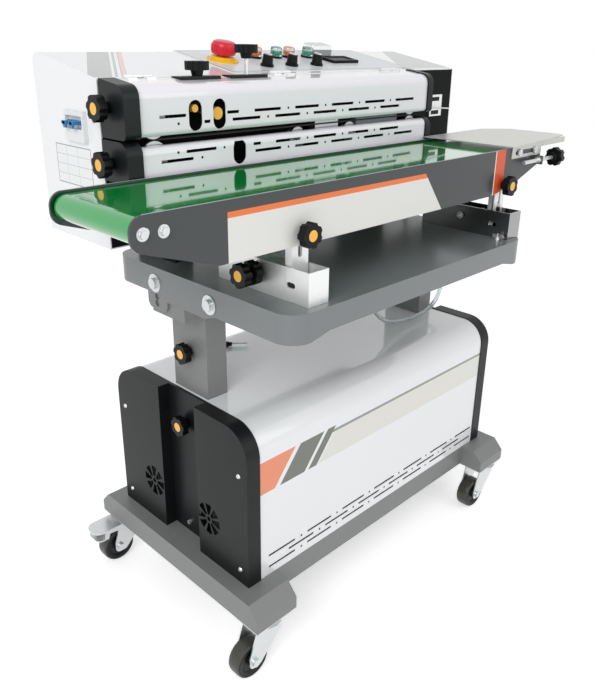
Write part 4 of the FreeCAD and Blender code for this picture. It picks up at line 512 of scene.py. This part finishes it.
SLOPE_UP = (0, -math.sin(HEAD_SLOPE), math.cos(HEAD_SLOPE))
rivets = [(on_slope(x, along, 1.1), SLOPE_UP) for x in (-205, 43, 290) for along in (25, 183)]
set_on_points("overlay_rivets", "deck", rivets, 3.0, 1.8, 1.4, 12, zinc)
nose = [((x, -270.2, z), FRONT) for x, z in ((-609, 891), (-578, 890))]
set_on_points("nose_washers", "conveyor", nose, 9.0, 9.0, 1.4, 24, zinc)
set_on_points("nose_bolts", "conveyor", [((x, -271.5, z), way) for (x, _, z), way in nose], 6.4, 6.0, 4.4, 6, zinc)
back_ends = [((378, -67.1, 892), (0, 1, 0)), ((-604, -67.1, 892), (0, 1, 0))]
set_on_points("journal_caps", "conveyor", back_ends, 8.0, 7.0, 3.0, 20, dark_paint)

# %% [markdown]
# The stop button has a wide straight head with upright ridges round its side for the fingers, over a yellow
# collar of nearly the same width.

# %% Head, collar and ridges of the stop button
STOP_X, STOP_RUN, RIDGES = -165, 104, 24
around = [2 * math.pi * step / RIDGES for step in range(RIDGES)]
ridges = [(on_slope(STOP_X + 22.6 * math.cos(angle), STOP_RUN + 22.6 * math.sin(angle), 17.5), SLOPE_UP)
          for angle in around]
set_on_points("stop_button_ridges", "emergency_stop", ridges, 1.3, 1.3, 12.0, 8, stop_red)

# %% [markdown]
# Between two dashes of each ventilation row lies one small round hole. They are drawn as dark discs of painted
# shade a tenth of a millimetre proud, which is too thin to see from the side.

# %% Round holes between the dashes
CABINET_DASH, CABINET_PITCH = 70, 104
COVER_DASH, COVER_PITCH = 63, 97.5
COVER_FRONT = -58.0


def dots_between(starts, length, pitch, z, y):
    """The middles of the gaps that follow each dash but the last."""
    return [((start + length + (pitch - length) / 2, y, z), FRONT) for start in starts[:-1]]


def cover_dots(first, count, z):
    """The holes of one row on a cover, from the start of its first dash."""
    starts = [first + COVER_PITCH * index for index in range(count)]
    return dots_between(starts, COVER_DASH, COVER_PITCH, z, COVER_FRONT)


cabinet_dots = []
for line, (count, shift) in enumerate(((7, 0.0), (6, 0.5), (7, 0.0))):
    starts = [-339 + (index + shift) * CABINET_PITCH for index in range(count)]
    cabinet_dots += dots_between(starts, CABINET_DASH, CABINET_PITCH, 181 + 13 * line, -202.0)
upper_dots = cover_dots(-235, 5, 1002) + cover_dots(-284, 5, 990) + [((-394, COVER_FRONT, 990), FRONT)]
lower_dots = cover_dots(-185, 4, 946) + cover_dots(-234, 5, 934)
lower_dots += [((x, COVER_FRONT, z), FRONT) for x, z in ((-397, 946), (-303, 946), (-350, 934))]
set_on_points("cabinet_holes", "base", cabinet_dots, 2.4, 2.4, 0.1, 12, hole_shade)
set_on_points("upper_cover_holes", "upper_cover", upper_dots, 2.2, 2.2, 0.1, 12, hole_shade)
set_on_points("lower_cover_holes", "deck", lower_dots, 2.2, 2.2, 0.1, 12, hole_shade)

# %% [markdown]
# Bent steel, caps and small fittings are simple solids. One helper turns an outline into a prism, another
# spins a drum, and each finished piece keeps its place in its own mesh.

# %% Helpers for small solids
def piece(name, corners, faces, finish, body, smooth=False):
    mesh = bpy.data.meshes.new(name)
    mesh.from_pydata([Vector(corner) * MM for corner in corners], [], faces)
    mesh.validate()
    mesh.materials.append(finish.material)
    for face in mesh.polygons:
        face.use_smooth = smooth
    made = bpy.data.objects.new(name, mesh)
    bpy.context.scene.collection.objects.link(made)
    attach(made, body)
    return made


def prism(name, outline, to_space, thick, finish, body):
    """An outline in the plane of to_space's first two numbers, as thick as the third one goes."""
    count = len(outline)
    corners = [to_space(u, v, 0) for u, v in outline] + [to_space(u, v, thick) for u, v in outline]
    faces = [list(range(count))[::-1], list(range(count, 2 * count))]
    faces += [[i, (i + 1) % count, count + (i + 1) % count, count + i] for i in range(count)]
    made = piece(name, corners, faces, finish, body)
    tidy_normals(made)
    return made


def tidy_normals(made):
    """Point every face of a closed solid outwards."""
    work = bmesh.new()
    work.from_mesh(made.data)
    bmesh.ops.recalc_face_normals(work, faces=work.faces)
    work.to_mesh(made.data)
    work.free()


def box_of(name, low, high, finish, body):
    outline = [(low[0], low[1]), (high[0], low[1]), (high[0], high[1]), (low[0], high[1])]
    return prism(name, outline, lambda u, v, w: (u, v, low[2] + w), high[2] - low[2], finish, body)


def drum(name, centre, axis, profile, finish, body, sides=32):
    """A turned piece: profile holds (radius, height) from the centre along the axis, in mm."""
    axis = Vector(axis).normalized()
    side = axis.orthogonal().normalized()
    other = axis.cross(side)
    corners, faces = [], []
    for radius, height in profile:
        for step in range(sides):
            angle = 2 * math.pi * step / sides
            outwards = side * math.cos(angle) + other * math.sin(angle)
            corners.append(Vector(centre) + axis * height + outwards * radius)
    for ring in range(len(profile) - 1):
        for step in range(sides):
            following = (step + 1) % sides
            faces.append([ring * sides + step, ring * sides + following, (ring + 1) * sides + following,
                          (ring + 1) * sides + step])
    faces.append(list(range(sides))[::-1])
    faces.append(list(range(len(corners) - sides, len(corners))))
    made = piece(name, corners, faces, finish, body, smooth=True)
    tidy_normals(made)
    made.data.set_sharp_from_angle(angle=math.radians(35))
    return made


# %% [markdown]
# The stop button's head and collar are turned pieces. The push buttons stand under clear caps, and the gauge
# under a clear lid.

# %% Stop button, clear caps and lid
drum("stop_button_head", on_slope(STOP_X, STOP_RUN), SLOPE_UP,
     [(15.0, 13.4), (21.5, 13.4), (22.6, 15.0), (22.6, 31.0), (20.5, 34.5), (17.0, 36.2)], stop_red,
     "emergency_stop", 48)
drum("stop_button_collar", on_slope(STOP_X, STOP_RUN), SLOPE_UP, [(22.4, 4.0), (22.4, 8.0), (21.4, 9.0)],
     stop_yellow, "deck", 48)
for name, x in (("orange_left", -65), ("green_left", -9), ("orange_right", 27), ("green_right", 82)):
    drum(f"clear_cap_{name}", on_slope(x, 125, 5.3), SLOPE_UP,
         [(12.0, 0), (12.0, 13), (11.0, 16), (6.0, 17.5)], clear, "deck", 28)
prism("gauge_lid", [(99, 121), (151, 121), (151, 155), (99, 155)],
      lambda u, v, w: on_slope(u, v, 17.3 + w), 8, clear, "deck")

# %% [markdown]
# A bright slotted bracket and a thin rod stand on the black front plate beyond the covers. A cable gland lies
# on the cabinet. A screw with a washer and a wing nut hold the right rail. Two blue handles hang from the
# breaker's toggle.

# %% Bracket, gland, rail screws and breaker handles
box_of("slot_bracket", (367, 4, 951), (414, 7.9, 999), stainless, "deck")
# The bracket's two slots are dark plates of painted shade.
for name, low in (("upper", 985), ("lower", 955)):
    box_of(f"bracket_slot_{name}", (373, 3.9, low), (403, 4.2, low + 9), hole_shade, "deck")
drum("guide_rod", (358, 0.5, 973), (82, 0, -7), [(1.6, 0), (1.6, 84)], zinc, "deck", 16)
ASIDE = (1, -0.9, 0)
drum("cable_gland", (-172, 119, 492.1), ASIDE, [(6, 0), (6, 8), (4.5, 9), (4.5, 15)], phenolic, "base", 24)
drum("gland_tube", (-161, 109.1, 492.1), ASIDE, [(3.5, 0), (3.5, 34)], hose_clear, "base", 20)
drum("rail_washer", (231, -191, 771), LEFT, [(7.5, 0.05), (7.5, 1.5)], zinc, "deck", 24)
drum("rail_screw", (229.5, -191, 771), LEFT, [(3.2, 0), (3.2, 9), (2.6, 10)], zinc, "deck", 16)
drum("wing_nut_hub", (221, -290, 738.05), UP, [(5, 0), (4, 6), (2, 6), (2, 13)], zinc, "deck", 16)
for side in (-1, 1):
    box_of(f"wing_{side + 2}", (220, -290 + (3 if side > 0 else -11), 741),
           (222, -290 + (11 if side > 0 else -3), 749), zinc, "deck")
# A dark plate of painted shade fills the inside of the left rail's slot.
box_of("rail_slot_shade", (-349.9, -283, 759), (-348.9, -255, 772), hole_shade, "carriage")
for name, y in (("near", 61), ("far", 83)):
    prism(f"breaker_handle_{name}", [(-512, 990), (-512, 984), (-510.5, 979.5), (-508.5, 979.5), (-508.5, 984)],
          lambda u, v, w, y=y: (u, y + w, v), 8, toggle_blue, "breaker_toggle")

# %% [markdown]
# The hose is soft clear PVC, 10 mm across. A curve through the same points as the construction model
# carries a round section, so it bends evenly and leaves its two barbs straight.

# %% Clear hose
HOSE_POINTS = [
    (64, -82, 722), (64, -82, 666), (71, -83, 604), (95, -82, 547), (144, -82, 514), (203, -81, 504),
    (262, -82, 500), (318, -82, 511), (358, -78, 549), (380, -60, 606), (385, -24, 640), (382, 28, 680),
    (378, 60, 727), (378, 60, 777),
]
line = bpy.data.curves.new("vacuum_tube", "CURVE")
line.dimensions = "3D"
line.bevel_depth = 5 * MM
line.bevel_resolution = 6
line.resolution_u = 10
line.use_fill_caps = True
spline = line.splines.new("NURBS")
spline.points.add(len(HOSE_POINTS) - 1)
for point, place in zip(spline.points, HOSE_POINTS):
    point.co = (*[part * MM for part in place], 1.0)
spline.order_u = 3
spline.use_endpoint_u = True
line.materials.append(hose_clear.material)
tube = bpy.data.objects.new("clear_vacuum_tube", line)
bpy.context.scene.collection.objects.link(tube)
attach(tube, "deck")
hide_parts("vacuum_hose")
print("hose made")

# %% [markdown]
# A plain pale floor takes the shadow. The world gives soft even light, and it shows white to the camera and
# in shiny metal. One broad lamp from the upper left and a weaker one from the right shape the forms.

# %% Floor, world and lamps
def camera_sees(tree):
    """1 for the camera's own rays and for those that metal and glass send on, 0 for light on matt surfaces."""
    rays = add(tree, "ShaderNodeLightPath").outputs
    direct = add(tree, "ShaderNodeMath", {0: rays["Is Camera Ray"], 1: rays["Is Glossy Ray"]}, operation="MAXIMUM")
    return add(tree, "ShaderNodeMath", {0: direct.outputs[0], 1: rays["Is Transmission Ray"]},
               operation="MAXIMUM").outputs[0]


FLOOR_GLOW = 0.46
SKY_ON_MATT = 0.55
floor_mesh = bpy.data.meshes.new("floor")
floor_mesh.from_pydata([(-9, -9, 0), (9, -9, 0), (9, 9, 0), (-9, 9, 0)], [], [(0, 1, 2, 3)])
floor = bpy.data.objects.new("floor", floor_mesh)
floor_paint = Finish("Matt white studio floor", "#F7F7F7", 0.9)
seen = camera_sees(floor_paint.tree)
glow = add(floor_paint.tree, "ShaderNodeMath", {0: seen, 1: FLOOR_GLOW}, operation="MULTIPLY")
floor_paint.shader.inputs["Emission Color"].default_value = (1.0, 1.0, 1.0, 1.0)
floor_paint.tree.links.new(glow.outputs[0], floor_paint.shader.inputs["Emission Strength"])
floor_mesh.materials.append(floor_paint.material)
bpy.context.scene.collection.objects.link(floor)

world = bpy.data.worlds.new("Soft white studio")
bpy.context.scene.world = world
world.use_nodes = True
sky = world.node_tree
sky.nodes.clear()
strength = add(sky, "ShaderNodeMapRange", {"Value": camera_sees(sky), "To Min": SKY_ON_MATT, "To Max": 1.0})
back_light = add(sky, "ShaderNodeBackground", {"Color": (1, 1, 1, 1), "Strength": strength.outputs[0]})
add(sky, "ShaderNodeOutputWorld", {0: back_light.outputs[0]})


def lamp(name, place, aim, size, watts):
    """A square soft lamp at a place, turned to a point, both in metres."""
    light = bpy.data.lights.new(name, "AREA")
    light.size = size
    light.energy = watts
    made = bpy.data.objects.new(name, light)
    made.location = place
    made.rotation_euler = (Vector(aim) - Vector(place)).to_track_quat("-Z", "Y").to_euler()
    bpy.context.scene.collection.objects.link(made)


lamp("key lamp", (-3.0, -1.5, 2.6), (0, 0, 0.7), 2.0, 64)
lamp("fill lamp", (0.9, -3.0, 1.8), (0, 0, 0.6), 2.0, 16)

# %% [markdown]
# The camera stands where the photographer did: left of the machine, a little above the belt, looking down
# by 21.5 degrees and rolled by less than one.

# %% Camera
CAMERA_PLACE = (-1.0780, -1.0086, 1.1172)
yaw, pitch, roll = math.radians(45.789), math.radians(21.522), math.radians(0.914)
forward = Vector((math.sin(yaw) * math.cos(pitch), math.cos(yaw) * math.cos(pitch), -math.sin(pitch)))
level = Vector((math.cos(yaw), -math.sin(yaw), 0.0))
upright = level.cross(forward)
right = level * math.cos(roll) + upright * math.sin(roll)
top = upright * math.cos(roll) - level * math.sin(roll)
view = bpy.data.cameras.new("camera")
view.sensor_fit = "HORIZONTAL"
view.sensor_width = 36.0
view.lens = 43.23
view.shift_x = -0.0143
view.shift_y = -0.0372
camera = bpy.data.objects.new("camera", view)
axes = Matrix((right, top, -forward)).transposed().to_4x4()
camera.matrix_world = Matrix.Translation(CAMERA_PLACE) @ axes
bpy.context.scene.collection.objects.link(camera)
bpy.context.scene.camera = camera
bpy.context.scene.view_settings.view_transform = "Standard"
